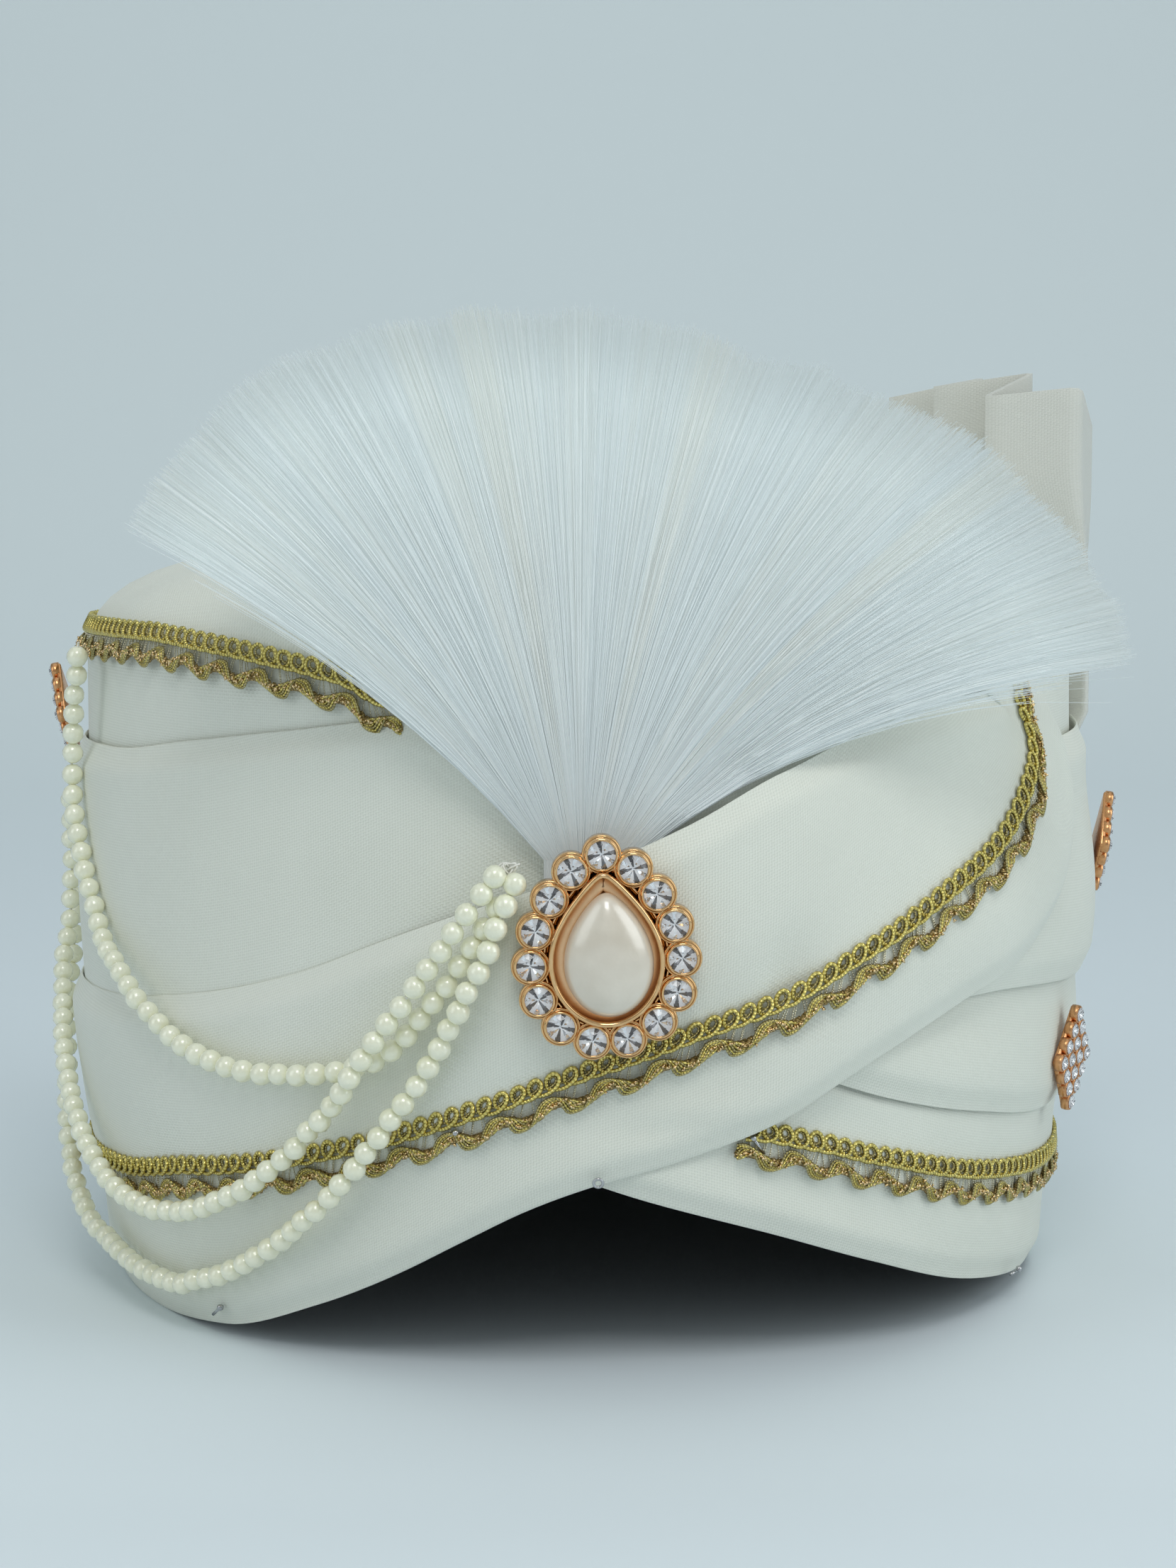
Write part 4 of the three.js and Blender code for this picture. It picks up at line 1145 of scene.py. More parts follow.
def build_fan():
    level = np.concatenate([np.zeros(FAN_TUCK_LEVELS), np.linspace(0, 1, FAN_LEVELS)])
    down = np.arange(len(level)) * FAN_HEIGHT / FAN_LEVELS
    folds = np.stack([fan_fold(*row) for row in FAN_FOLDS])
    lines = []
    for i in range(len(FAN_FOLDS) - 1):
        for k in range(FAN_PANEL_POINTS):
            t = k / FAN_PANEL_POINTS
            line = folds[i] * (1 - t) + folds[i + 1] * t
            line[:, 1] += FAN_BELLY * math.sin(math.pi * t) * np.sin(math.pi * level)
            lines.append(line)
    lines.append(folds[-1])
    sheet = np.stack(lines)
    smooth = sheet.copy()
    smooth[1:-1] = 0.5 * sheet[1:-1] + 0.25 * (sheet[:-2] + sheet[2:])
    along = np.linalg.norm(np.diff(smooth, axis=0), axis=2).mean(axis=1)
    u = np.concatenate([[0], np.cumsum(along)])
    uv = np.stack(np.broadcast_arrays(u[:, None], down[None]), axis=-1).reshape(-1, 2)
    fan = mesh_piece(
        "fan_cloth", smooth.reshape(-1, 3), [grid_faces(len(smooth), len(level))], [FAN_CLOTH], uv=uv
    )
    thicken(fan, FAN_THICKNESS)
    return set_up(fan, "cloth", "fan_pleats")


def only(piece):
    bpy.ops.object.select_all(action="DESELECT")
    piece.select_set(True)
    bpy.context.view_layer.objects.active = piece


def thicken(piece, thickness):
    only(piece)
    wall = piece.modifiers.new("wall", "SOLIDIFY")
    wall.thickness = thickness * MM
    wall.offset = 0
    wall.use_even_offset = True
    wall.thickness_clamp = 1
    bpy.ops.object.modifier_apply(modifier=wall.name)
    edge = piece.modifiers.new("soft_edge", "BEVEL")
    edge.width = FAN_EDGE * MM
    edge.segments = 3
    edge.limit_method = "ANGLE"
    edge.angle_limit = math.radians(60)
    bpy.ops.object.modifier_apply(modifier=edge.name)
    piece.data.polygons.foreach_set("use_smooth", np.ones(len(piece.data.polygons), bool))


# Lace

class LaceBed:
    """The line that a lace is sewn along: place, up the width, and out of the cloth."""

    def __init__(self, points, across, out, shown_width):
        self.run = run_lengths(points)
        self.length = self.run[-1]
        self.points = points
        self.across = unit(across) * shown_width[:, None]
        self.out = unit(out)

    def read(self, values, run):
        return np.stack([np.interp(run, self.run, values[:, i]) for i in range(3)], axis=-1)

    def spot(self, run, across, lift):
        out = unit(self.read(self.out, run))
        place = self.read(self.points, run) + self.read(self.across, run) * across[..., None]
        return place + out * lift[..., None], out


def main_lace_bed():
    read = columns(MAIN_NAMES, MAIN_WRAP)
    place = np.linspace(LACE_FROM_ROW, len(MAIN_WRAP) - 1, MAIN_LACE_POINTS)
    half = LACE_WIDTH / 2 / band_width(read, place)

    def edge(share):
        turn, height, seat = band_spot(read, place, share)
        face = seat + CLOTH_THICKNESS + read["puff"](place) * np.sin(math.pi * share)
        return crown_point(turn, height, face), crown_normal(turn, height)

    middle, out = edge(read["lace"](place))
    high, _ = edge(read["lace"](place) + half)
    low, _ = edge(read["lace"](place) - half)
    turned = smooth_step(*LACE_TURN_ROWS, place)
    return LaceBed(middle, high - low, out, 1 - (1 - LACE_TURN_WIDTH) * turned)


def crown_lace_bed():
    read = columns(("turn", "height"), CROWN_LACE)
    place = np.linspace(0, len(CROWN_LACE) - 1, CROWN_LACE_POINTS)
    turn, height = read["turn"](place), read["height"](place)
    middle = crown_point(turn, height, CROWN_LACE_LIFT)
    high = crown_point(turn, height + LACE_WIDTH / 2, CROWN_LACE_LIFT)
    low = crown_point(turn, height - LACE_WIDTH / 2, CROWN_LACE_LIFT)
    return LaceBed(middle, high - low, crown_normal(turn, height), np.ones(len(place)))


def lay_thread(heap, bed, run, across, lift, radius, sides, material):
    run = np.clip(run, 0, bed.length)
    points, out = bed.spot(run, across, lift)
    if points.ndim == 2:
        points, out = points[None], out[None]
    heap.add_threads(points, out, radius, sides, material)


def braid_swing(run):
    return np.tanh(WAVE_ROUNDNESS * np.sin(2 * math.pi * run / WAVE_PITCH)) / math.tanh(WAVE_ROUNDNESS)


def lay_loops(heap, bed, picks):
    count = int(bed.length / LOOP_PITCH) - 1
    repeat = np.array(LOOP_SHAPE)
    step = np.arange(count)[:, None, None] * np.array([LOOP_PITCH, 0, 0])
    rows = repeat[None] + step + np.array([LOOP_PITCH, 0, 0])
    rows[..., :2] += picks.normal(0, LOOP_UNEVEN, rows[..., :2].shape)
    line = smooth_route(rows.reshape(-1, 3), LOOP_STEPS)
    lay_thread(heap, bed, line[:, 0], line[:, 1], line[:, 2], LOOP_THREAD, 5, BRIGHT)
    # The darker ring fill: partly a thread of its own, partly painted shade inside the rings.
    inner = rows.copy()
    ring = step[..., :2] + np.array([LOOP_PITCH, 0]) + np.array(RING_CENTRE)
    inner[..., :2] = ring + (rows[..., :2] - ring) * RING_FILL
    line = smooth_route(inner.reshape(-1, 3), 1)
    lay_thread(heap, bed, line[:, 0], line[:, 1], 0.5 * line[:, 2], RING_FILL_THREAD, 4, OLD)


def lay_braid(heap, bed):
    run = np.arange(0, bed.length, CORE_SAMPLE)
    middle = BRAID_CENTRE + CORE_SWING * braid_swing(run)
    for half_turn in (0, math.pi):
        twist = 2 * math.pi * run / CORE_TWIST + half_turn
        across = middle + CORE_SPREAD * np.sin(twist)
        lift = CORE_LIFT + CORE_ROUND * np.cos(twist)
        lay_thread(heap, bed, run, across, lift, CORE_THREAD, 4, GLITTER)
    run = np.arange(0, bed.length, STRAND_SAMPLE)
    middle_strand = (len(STRAND_SWINGS) - 1) / 2
    for k, amount in enumerate(STRAND_SWINGS):
        swing = braid_swing(run + STRAND_STEP * (k - middle_strand))
        across = BRAID_CENTRE + amount * swing
        lift = STRAND_LIFT + STRAND_CROSSING * (1 - swing * swing)
        lay_thread(heap, bed, run, across, lift, STRAND_THREAD, 4, OLD if k % 2 else BRIGHT)


def lay_specks(heap, bed, picks):
    """Glitter: small four-sided chips stuck on the braid's thick core."""
    run = np.arange(0.5, bed.length - 0.5, SPECK_STEP)
    run = run + picks.normal(0, SPECK_JITTER, len(run))
    across = BRAID_CENTRE + CORE_SWING * braid_swing(run) + picks.normal(0, SPECK_SPREAD, len(run))
    middle, _ = bed.spot(run, across, picks.uniform(*SPECK_LIFT, len(run)))
    corners = np.array([[1, 1, 1], [1, -1, -1], [-1, 1, -1], [-1, -1, 1]]) / math.sqrt(3)
    sides = np.array([[0, 1, 2], [0, 3, 1], [0, 2, 3], [1, 3, 2]])
    spins, _ = np.linalg.qr(picks.normal(0, 1, (len(run), 3, 3)))
    spins = spins * np.sign(np.linalg.det(spins))[:, None, None]
    sizes = SPECK_SIZE * picks.uniform(*SPECK_SIZES, (len(run), 1, 1))
    points = middle[:, None] + sizes * (corners[None] @ spins)
    faces = sides[None] + 4 * np.arange(len(run))[:, None, None]
    heap.add(points.reshape(-1, 3), [(faces.reshape(-1, 3), SPECK)])


def lay_bridges(heap, bed, picks):
    """Fine threads in pairs from the arcs down to the braid, drawn towards its crests."""
    run = np.arange(1.0, bed.length - 1.0, BRIDGE_PITCH)
    pair = np.tile([-BRIDGE_PAIR, BRIDGE_PAIR], len(run))
    run = np.repeat(run, 2) + pair + picks.normal(0, BRIDGE_UNEVEN, 2 * len(run))
    crest = (np.round(run / WAVE_PITCH - CREST_SHARE) + CREST_SHARE) * WAVE_PITCH
    slant = np.clip(BRIDGE_LEAN * (crest - run), -BRIDGE_LEAN_MOST, BRIDGE_LEAN_MOST)
    slant = slant + picks.normal(0, BRIDGE_LEAN_UNEVEN, len(run))
    along = np.linspace(0, 1, 4)
    place = run[:, None] + slant[:, None] * along[None]
    low = BRAID_CENTRE + BRIDGE_SWING * braid_swing(run + slant)
    across = BRIDGE_TOP + (low - BRIDGE_TOP)[:, None] * along[None]
    bow = BRIDGE_BOW * np.sin(math.pi * along)[None]
    lift = BRIDGE_LIFT + bow + picks.normal(0, BRIDGE_LIFT_UNEVEN, (len(run), 1))
    lay_thread(heap, bed, place, across, lift, BRIDGE_THREAD, 3, PALE)


def build_lace(name, bed, node, seed):
    picks = np.random.default_rng(seed)
    heap = Heap()
    lay_loops(heap, bed, picks)
    lay_braid(heap, bed)
    lay_specks(heap, bed, picks)
    lay_bridges(heap, bed, picks)
    set_up(heap.piece(name, LACE_MATERIALS), "lace", node)


# Pearl strings

def smooth_route(points, steps=60):
    """A round curve through all the points."""
    points = np.asarray(points, float)
    ends = [2 * points[0] - points[1], 2 * points[-1] - points[-2]]
    p = np.concatenate([[ends[0]], points, [ends[1]]])
    made = []
    for i in range(1, len(p) - 2):
        gaps = [max(np.linalg.norm(p[i + k] - p[i + k - 1]) ** 0.5, 1e-6) for k in range(3)]
        into = (p[i] - p[i - 1]) / gaps[0] - (p[i + 1] - p[i - 1]) / (gaps[0] + gaps[1])
        into = (into + (p[i + 1] - p[i]) / gaps[1]) * gaps[1]
        away = (p[i + 1] - p[i]) / gaps[1] - (p[i + 2] - p[i]) / (gaps[1] + gaps[2])
        away = (away + (p[i + 2] - p[i + 1]) / gaps[2]) * gaps[1]
        t = np.linspace(0, 1, steps, endpoint=False)[:, None]
        made.append(
            (2 * t**3 - 3 * t**2 + 1) * p[i]
            + (t**3 - 2 * t**2 + t) * into
            + (3 * t**2 - 2 * t**3) * p[i + 1]
            + (t**3 - t**2) * away
        )
    made.append(points[-1:])
    return np.concatenate(made)


def bead_mesh():
    """One pearl, modelled once with flattened ends where the thread goes in."""
    bpy.ops.object.select_all(action="DESELECT")
    bpy.ops.mesh.primitive_uv_sphere_add(segments=12, ring_count=7, radius=1, location=(0, 0, 0))
    bead = bpy.context.object
    points = np.array([v.co for v in bead.data.vertices])
    points[:, 2] = np.clip(points[:, 2], -BEAD_FLAT_END, BEAD_FLAT_END)
    faces = [list(p.vertices) for p in bead.data.polygons]
    bpy.data.objects.remove(bead)
    quads = np.array([f for f in faces if len(f) == 4])
    triangles = np.array([f for f in faces if len(f) == 3])
    return points, [(quads, 0), (triangles, 0)]


def build_strings():
    bead, bead_faces = bead_mesh()
    inset = BEAD_RADIUS * BEAD_INSET
    for name, rows in PEARL_STRINGS.items():
        turn, height, lift = np.array(STRING_STARTS[name] + rows, float).T
        route = smooth_route(crown_point(turn, height, lift))
        run = run_lengths(route)
        places = np.arange(inset, run[-1] - inset, BEAD_SPACING)
        at = np.stack([np.interp(places, run, route[:, i]) for i in range(3)], axis=1)
        tangent = np.gradient(route, axis=0)
        heading = unit(np.stack([np.interp(places, run, tangent[:, i]) for i in range(3)], axis=1))
        heap = Heap()
        for spot, way in zip(at, heading):
            spin = Matrix.Rotation(rng.uniform(0, BEAD_SPIN), 3, "Z").to_quaternion()
            turned = Vector(way).to_track_quat("Z", "Y") @ spin
            size = BEAD_RADIUS * rng.uniform(*BEAD_SIZES)
            placed = bead * size @ np.array(turned.to_matrix()).T + spot
            heap.add(placed + rng.normal(0, BEAD_STRAY, 3), bead_faces)
        thin = route[:: max(1, len(route) // STRING_POINTS)]
        out = np.broadcast_to(STRING_OUT, thin.shape)
        heap.add_threads(thin[None], out[None], STRING_THREAD, 5, 1)
        set_up(heap.piece(name + "_beads", [PEARL, THREAD]), "pearl", name)


# Jewels, drawn face up in millimetres and then stood on the crown

def stand(turn, height, offset, tilt, roll=0, facing=0):
    """A basis of across, up and out on the crown, tilted, rolled and faced aside, and its place."""
    normal = Vector(crown_normal(turn + facing, height))
    side = Vector((0, 0, 1)).cross(normal).normalized()
    up = normal.cross(side)
    basis = Matrix((side, up, normal)).transposed()
    lean = Matrix.Rotation(math.radians(tilt), 3, "X")
    twist = Matrix.Rotation(math.radians(roll), 3, "Z")
    return np.array(basis @ lean @ twist), crown_point(turn, height, offset)


def stood(points, spot):
    basis, place = spot
    return np.asarray(points) @ basis.T + place


def take_mesh(piece):
    """The points of a modelled object in millimetres and its faces by size. The object is removed."""
    points = np.array([v.co for v in piece.data.vertices]) / MM
    by_size = {}
    for p in piece.data.polygons:
        by_size.setdefault(len(p.vertices), []).append(list(p.vertices))
    data = piece.data
    bpy.data.objects.remove(piece)
    bpy.data.meshes.remove(data)
    return points, {size: np.array(f) for size, f in by_size.items()}


def add_mesh(heap, made, material, spot, move=(0, 0, 0)):
    points, by_size = made
    heap.add(stood(points + np.array(move), spot), [(faces, material) for faces in by_size.values()])


def turned_shape(profile, steps):
    """A shape spun round +Z from a profile of radius and level."""
    mesh = bpy.data.meshes.new("profile")
    points = [(r * MM, 0, z * MM) for r, z in profile]
    mesh.from_pydata(points, [(i, i + 1) for i in range(len(points) - 1)], [])
    piece = linked("turned", mesh)
    only(piece)
    bpy.ops.object.mode_set(mode="EDIT")
    bpy.ops.mesh.select_all(action="SELECT")
    bpy.ops.mesh.spin(steps=steps, angle=2 * math.pi, center=(0, 0, 0), axis=(0, 0, 1))
    bpy.ops.mesh.select_all(action="SELECT")
    bpy.ops.mesh.remove_doubles(threshold=0.000005)
    bpy.ops.mesh.normals_make_consistent(inside=False)
    bpy.ops.object.mode_set(mode="OBJECT")
    return take_mesh(piece)


def cut_stone(radius, depth):
    """A round cut stone: table, crown facets, girdle and a pointed back."""
    eighth = np.arange(8) * math.pi / 4
    sixteenth = np.arange(16) * math.pi / 8

    def ring(angles, share, level):
        flat = radius * share * MM
        return [(flat * math.cos(a), flat * math.sin(a), level * radius * MM) for a in angles]

    points = ring(eighth, *STONE_TABLE_RING) + ring(eighth + math.pi / 8, *STONE_CROWN_RING)
    for row in STONE_EDGE_RINGS:
        points += ring(sixteenth, *row)
    points += ring(eighth, STONE_POINT, -depth)
    mesh = bpy.data.meshes.new("stone")
    mesh.from_pydata(points, [], [])
    piece = linked("stone", mesh)
    only(piece)
    bpy.ops.object.mode_set(mode="EDIT")
    bpy.ops.mesh.select_all(action="SELECT")
    bpy.ops.mesh.convex_hull()
    bpy.ops.mesh.normals_make_consistent(inside=False)
    bpy.ops.object.mode_set(mode="OBJECT")
    return take_mesh(piece)


def add_stone(heap, stone, move, spot, spin):
    """A clear stone. Its back facets take the three foils in turn, with a bright one at every second:
    painted sparkle on the bright facets, a painted dark reflection on the dark ones.
    """
    points, by_size = stone
    c, s = math.cos(spin), math.sin(spin)
    pairs = []
    for faces in by_size.values():
        middle = points[faces].mean(axis=1)
        back = middle[:, 2] < STONE_BACK_BELOW
        facet = np.floor(np.arctan2(middle[:, 1], middle[:, 0]) / (math.pi / 8)).astype(int)
        foil = np.where(facet % 2 == 0, 1, np.where(facet % 4 == 1, 2, 3))
        kind = np.where(back, foil, 0)
        pairs += [(faces[kind == number], number) for number in np.unique(kind)]
    turned = points @ np.array([[c, s, 0], [-s, c, 0], [0, 0, 1]])
    heap.add(stood(turned + np.array(move), spot), pairs)


def drop_outline(size, angles):
    half_width, half_height, narrowing, point = size
    up = np.cos(angles)
    width = half_width * (1 - narrowing * up - point * (1 + up) ** 3)
    return np.stack([width * np.sin(angles), half_height * np.cos(angles)], axis=1)


def ring_angles(count):
    return -np.arange(count) * 2 * math.pi / count


def at_level(outline, level):
    return np.concatenate([outline, np.full((len(outline), 1), level)], axis=1)


def grown(outline, by):
    along = np.roll(outline, -1, axis=0) - np.roll(outline, 1, axis=0)
    out = unit(np.stack([along[:, 1], -along[:, 0]], axis=1))
    if (out * outline).sum() < 0:
        out = -out
    return outline + out * by


def drop_ring(size, profile, count=DROP_POINTS):
    """A wall round a drop outline, from a closed profile of outward steps and levels."""
    outline = drop_outline(size, ring_angles(count))
    rows = [at_level(grown(outline, by), z) for by, z in profile]
    points = np.stack(rows, axis=1).reshape(-1, 3)
    return points, {4: grid_faces(count, len(profile), close_rows=True, close_width=True)}


def stone_places():
    fine = np.linspace(0, 2 * math.pi, 721)
    line = drop_outline(STONE_RING, fine)
    run = run_lengths(line)
    wanted = run[-1] * np.arange(STONE_COUNT) / STONE_COUNT
    return np.stack([np.interp(wanted, run, line[:, i]) for i in range(2)], axis=1)


CUP_PROFILE = (
    (0, 0), (2.95, 0), (3.12, 0.3), (3.16, 2.1), (3.08, 2.42), (2.92, 2.5), (2.78, 2.34),
    (2.74, 2.1), (2.68, 2.9), (2.56, 3.12), (2.34, 3.14), (2.22, 2.95), (2.18, 1.5), (0, 1.5),
)
CLIP_CUP_PROFILE = (
    (0, 0.4), (1.62, 0.4), (1.68, 1.3), (1.6, 1.75), (1.48, 1.85), (1.33, 1.75), (1.28, 1.3), (0, 1.3),
)
BEZEL_PROFILE = ((0, 1.0), (0, 3.9), (0.14, 4.2), (0.4, 4.28), (0.66, 4.2), (0.8, 3.9), (0.82, 1.0))
LEDGE_PROFILE = ((-2.0, 1.0), (-2.0, 2.5), (-1.6, 2.7), (0.1, 2.7), (0.1, 1.0))
GROOVE_PROFILE = ((1.25, 1.0), (1.25, 2.0), (1.45, 2.2), (1.7, 2.0), (1.7, 1.0))


def build_brooch():
    spot = stand(BROOCH_TURN, BROOCH_HEIGHT, BROOCH_BACK, BROOCH_TILT, BROOCH_ROLL)
    places = stone_places()
    setting = Heap()
    add_mesh(setting, drop_plate(STONE_RING, PLATE_MARGIN, PLATE_THICKNESS), 0, spot)
    cup = turned_shape(CUP_PROFILE, 26)
    for x, y in places:
        add_mesh(setting, cup, 0, spot, (x, y, 0))
    for profile, material in ((BEZEL_PROFILE, 0), (GROOVE_PROFILE, 0), (LEDGE_PROFILE, 1)):
        add_mesh(setting, drop_ring(BEZEL, profile), material, spot)
    set_up(setting.piece("brooch_rose_gold", [ROSE_GOLD, PEACH_GOLD]), "gilt", "brooch_setting")

    stones = Heap()
    stone = cut_stone(STONE_RADIUS, STONE_DEPTH)
    level = STONE_SEAT + STONE_GIRDLE * STONE_RADIUS
    for x, y in places:
        add_stone(stones, stone, (x, y, level), spot, rng.uniform(0, math.pi))
    nodes = [f"brooch_stone_{i + 1:02d}" for i in range(STONE_COUNT)]
    set_up(stones.piece("brooch_stones", STONE_MATERIALS, smooth=False), "stone", *nodes)

    pearl = Heap()
    dome = drop_dome(DROP_PEARL, DROP_PEARL_HEIGHT)
    add_mesh(pearl, dome, 0, spot, (*DROP_PEARL_SHIFT, DROP_PEARL_SEAT))
    set_up(pearl.piece("brooch_drop_pearl", [BLUSH_PEARL]), "drop_pearl", "brooch_pearl")


def drop_plate(size, margin, thickness, count=DROP_POINTS):
    """A flat closed plate with a drop outline."""
    outline = grown(drop_outline(size, ring_angles(count)), margin)
    rims = [at_level(outline, 0), at_level(outline, thickness)]
    points = np.concatenate([[[0, 0, 0]], *rims, [[0, 0, thickness]]])
    low = 1 + np.arange(count)
    high = low + count
    after = np.roll(np.arange(count), -1)
    top = np.full(count, len(points) - 1)
    bottom = np.zeros(count, int)
    under = np.stack([low[after], low, bottom], axis=1)
    over = np.stack([high, high[after], top], axis=1)
    sides = np.stack([low, low[after], high[after], high], axis=1)
    return points, {4: sides, 3: np.concatenate([under, over])}


def drop_dome(size, height, count=DROP_PEARL_POINTS, levels=DROP_PEARL_LEVELS):
    """A domed drop with a flat back, drawn in below its widest line."""
    outline = drop_outline(size, ring_angles(count))
    rise = np.linspace(DROP_PEARL_FOOT, math.pi / 2, levels, endpoint=False)
    dome = 1 - DROP_PEARL_WIDEST
    rows = [
        at_level(outline * math.cos(r), height * (DROP_PEARL_WIDEST + dome * math.sin(r))) for r in rise
    ]
    points = np.stack(rows, axis=1).reshape(-1, 3)
    points[:, 2] = np.maximum(points[:, 2], 0)
    quads = grid_faces(count, levels, close_rows=True)
    top = len(points)
    points = np.concatenate([points, [[0, 0, height], [0, 0, 0]]])
    ring = np.arange(count) * levels
    after = np.roll(ring, -1)
    over = np.stack([ring + levels - 1, after + levels - 1, np.full(count, top)], axis=1)
    under = np.stack([after, ring, np.full(count, top + 1)], axis=1)
    return points, {4: quads, 3: np.concatenate([over, under])}


def rhombus_plate():
    """The clip's plate, bevelled all round."""
    bpy.ops.object.select_all(action="DESELECT")
    bpy.ops.mesh.primitive_cylinder_add(
        vertices=4, radius=1, depth=CLIP_PLATE_THICKNESS * MM, location=(0, 0, 0)
    )
    plate = bpy.context.object
    for vertex in plate.data.vertices:
        vertex.co.x *= CLIP_PLATE[0] * MM
        vertex.co.y *= CLIP_PLATE[1] * MM
    plate.data.transform(Matrix.Translation((0, 0, CLIP_PLATE_THICKNESS / 2 * MM)))
    only(plate)
    edge = plate.modifiers.new("edge", "BEVEL")
    edge.width = CLIP_PLATE_BEVEL * MM
    edge.segments = 2
    bpy.ops.object.modifier_apply(modifier=edge.name)
    return take_mesh(plate)


def build_clips():
    plate = rhombus_plate()
    cup = turned_shape(CLIP_CUP_PROFILE, 16)
    stone = cut_stone(CLIP_STONE, CLIP_STONE_DEPTH)
    for name, (turn, height, back, tilt, facing) in CLIPS.items():
        spot = stand(turn, height, back, tilt, facing=facing)
        setting = Heap()
        stones = Heap()
        add_mesh(setting, plate, 0, spot)
        for i in range(CLIP_ROW):
            for k in range(CLIP_ROW):
                x = (i - k) / CLIP_ROW * CLIP_HALF_WIDTH
                y = (i + k - (CLIP_ROW - 1)) / CLIP_ROW * CLIP_HALF_HEIGHT
                add_mesh(setting, cup, 0, spot, (x, y, 0))
                add_stone(stones, stone, (x, y, CLIP_STONE_SEAT), spot, rng.uniform(0, math.pi))
        set_up(setting.piece(name + "_copper", [COPPER]), "copper", name)
        set_up(stones.piece(name + "_stones", STONE_MATERIALS, smooth=False), "stone")


# Plume

def bristle_paths(share, lock, clump, loose, length, depth):
    """Each bristle bends outwards from the brooch's head, a little towards the middle of its lock."""
    along = np.linspace(0, 1, BRISTLE_POINTS)
    fine = 4
    steps = np.linspace(0, 1, (BRISTLE_POINTS - 1) * fine + 1)
    middle = (steps[1:] + steps[:-1]) / 2
    pulled = (lock - share)[:, None] * clump[:, None] * middle[None] ** 2
    drawn = share[:, None] + pulled + loose[:, None] * middle[None]
    start = np.radians(PLUME_START[0] + (PLUME_START[1] - PLUME_START[0]) * drawn)
    end = np.radians(PLUME_END[0] + (PLUME_END[1] - PLUME_END[0]) * drawn)
    angle = start + (end - start) * middle[None]
    step = length[:, None] / (len(steps) - 1)
    foot = np.zeros((len(share), 1))
    x0 = (share * 2 - 1) * PLUME_HEAD_HALF
    x = x0[:, None] + np.concatenate([foot, np.cumsum(np.sin(angle) * step, axis=1)], axis=1)
    z = PLUME_HEAD_TOP + np.concatenate([foot, np.cumsum(np.cos(angle) * step, axis=1)], axis=1)
    x, z = x[:, ::fine], z[:, ::fine]
    rise = np.maximum(0, z - WALL_HEIGHT)
    thick = PLUME_HEAD_DEPTH + (PLUME_TIP_DEPTH - PLUME_HEAD_DEPTH) * along
    y = -PLUME_FRONT + PLUME_LEAN * rise * rise + depth[:, None] * thick[None] / 2
    y = y + PLUME_TUCK * smooth_step(*TUCK_SHARES, share)[:, None] * smooth_step(*TUCK_ACROSS, x)
    paths = np.stack([x, y, z], axis=-1)
    root = paths[:, :1].copy()
    root[:, 0, 2] = PLUME_HEAD_LOW
    root[:, 0, 0] = x0
    return np.concatenate([root, paths], axis=1)


def build_plume():
    total = PLUME_PIECES * BRISTLES_PER_PIECE
    centres = (np.arange(LOCK_COUNT) + rng.uniform(*LOCK_PLACES, LOCK_COUNT)) / LOCK_COUNT
    lock_length = rng.normal(0, LOCK_LENGTH_SPREAD, LOCK_COUNT)
    lock_tint = np.clip(rng.normal(*LOCK_TINT, LOCK_COUNT), 0, 1)
    lock_tint[list(CREAM_LOCKS)] = CREAM_TINT
    share = np.sort(rng.uniform(0, 1, total))
    number = np.abs(share[:, None] - centres[None]).argmin(axis=1)
    clump = rng.uniform(0.0, LOCK_PULL, total)
    loose = (rng.uniform(0, 1, total) < LOOSE_SHARE) * rng.normal(0, LOOSE_SWING, total)
    short = (rng.uniform(0, 1, total) < SHORT_SHARE) * rng.uniform(*SHORT_CUT, total)
    ragged = np.minimum(0, rng.normal(0.0, RAGGED_SPREAD, total)) - rng.uniform(0, RAGGED_CUT, total)
    reach = np.interp(share, np.linspace(0, 1, len(PLUME_REACH)), PLUME_REACH)
    length = PLUME_LENGTH * (reach + np.interp(share, centres, lock_length) + ragged - short)
    depth = rng.uniform(-1, 1, total)
    paths = bristle_paths(share, centres[number], clump, loose, length, depth)
    up_bristle = np.linspace(0, 1, BRISTLE_POINTS + 1)
    stray = rng.normal(0, STRAY_TIP, (total, 1, 3)) * (up_bristle**2)[None, :, None]
    stray[..., 1] *= STRAY_DEPTH
    paths = paths + stray
    tint = np.clip(lock_tint[number] + rng.normal(0, BRISTLE_TINT_SPREAD, total), 0, 1)
    radius = BRISTLE_RADIUS + (BRISTLE_TIP_RADIUS - BRISTLE_RADIUS) * up_bristle
    out = np.broadcast_to([0.0, -1.0, 0.05], paths[:BRISTLES_PER_PIECE].shape)
    sides = 3
    for k in range(PLUME_PIECES):
        part = slice(k * BRISTLES_PER_PIECE, (k + 1) * BRISTLES_PER_PIECE)
        points, quads, ends, _ = tubes(paths[part], out, radius[None], sides)
        piece = mesh_piece(
            f"plume_bristles_{k + 1}",
            points,
            [quads, ends],
            [BRISTLE],
            tint=np.repeat(tint[part], (BRISTLE_POINTS + 1) * sides),
            along=np.tile(np.repeat(up_bristle, sides), BRISTLES_PER_PIECE),
        )
        set_up(piece, "plume", *(["plume"] if k == 0 else []))


# Pins and thread

# Pins: turn, height and lift, then the heading round and up
PINS = (
    (16.8, 40.2, 3.4, -0.75, 1.0),
    (-43.3, 5.2, 3.1, 0.9, 0.6),
    (60.1, 5.9, 3.1, 1.0, 0.1),
    (-13.2, 42.6, 5.4, 1.0, 0.55),
)
PIN_LENGTH = 3.6
PIN_RADIUS = 0.28
PIN_HEAD = 0.62
# The steel eye at the point where the wraps part over the brow: turn, height, lift, radius and wire
BROW_EYE = (0.95, 35.7, 5.6, 0.75, 0.26)
BROW_EYE_TILT = 12
PIN_SLANT = 0.12


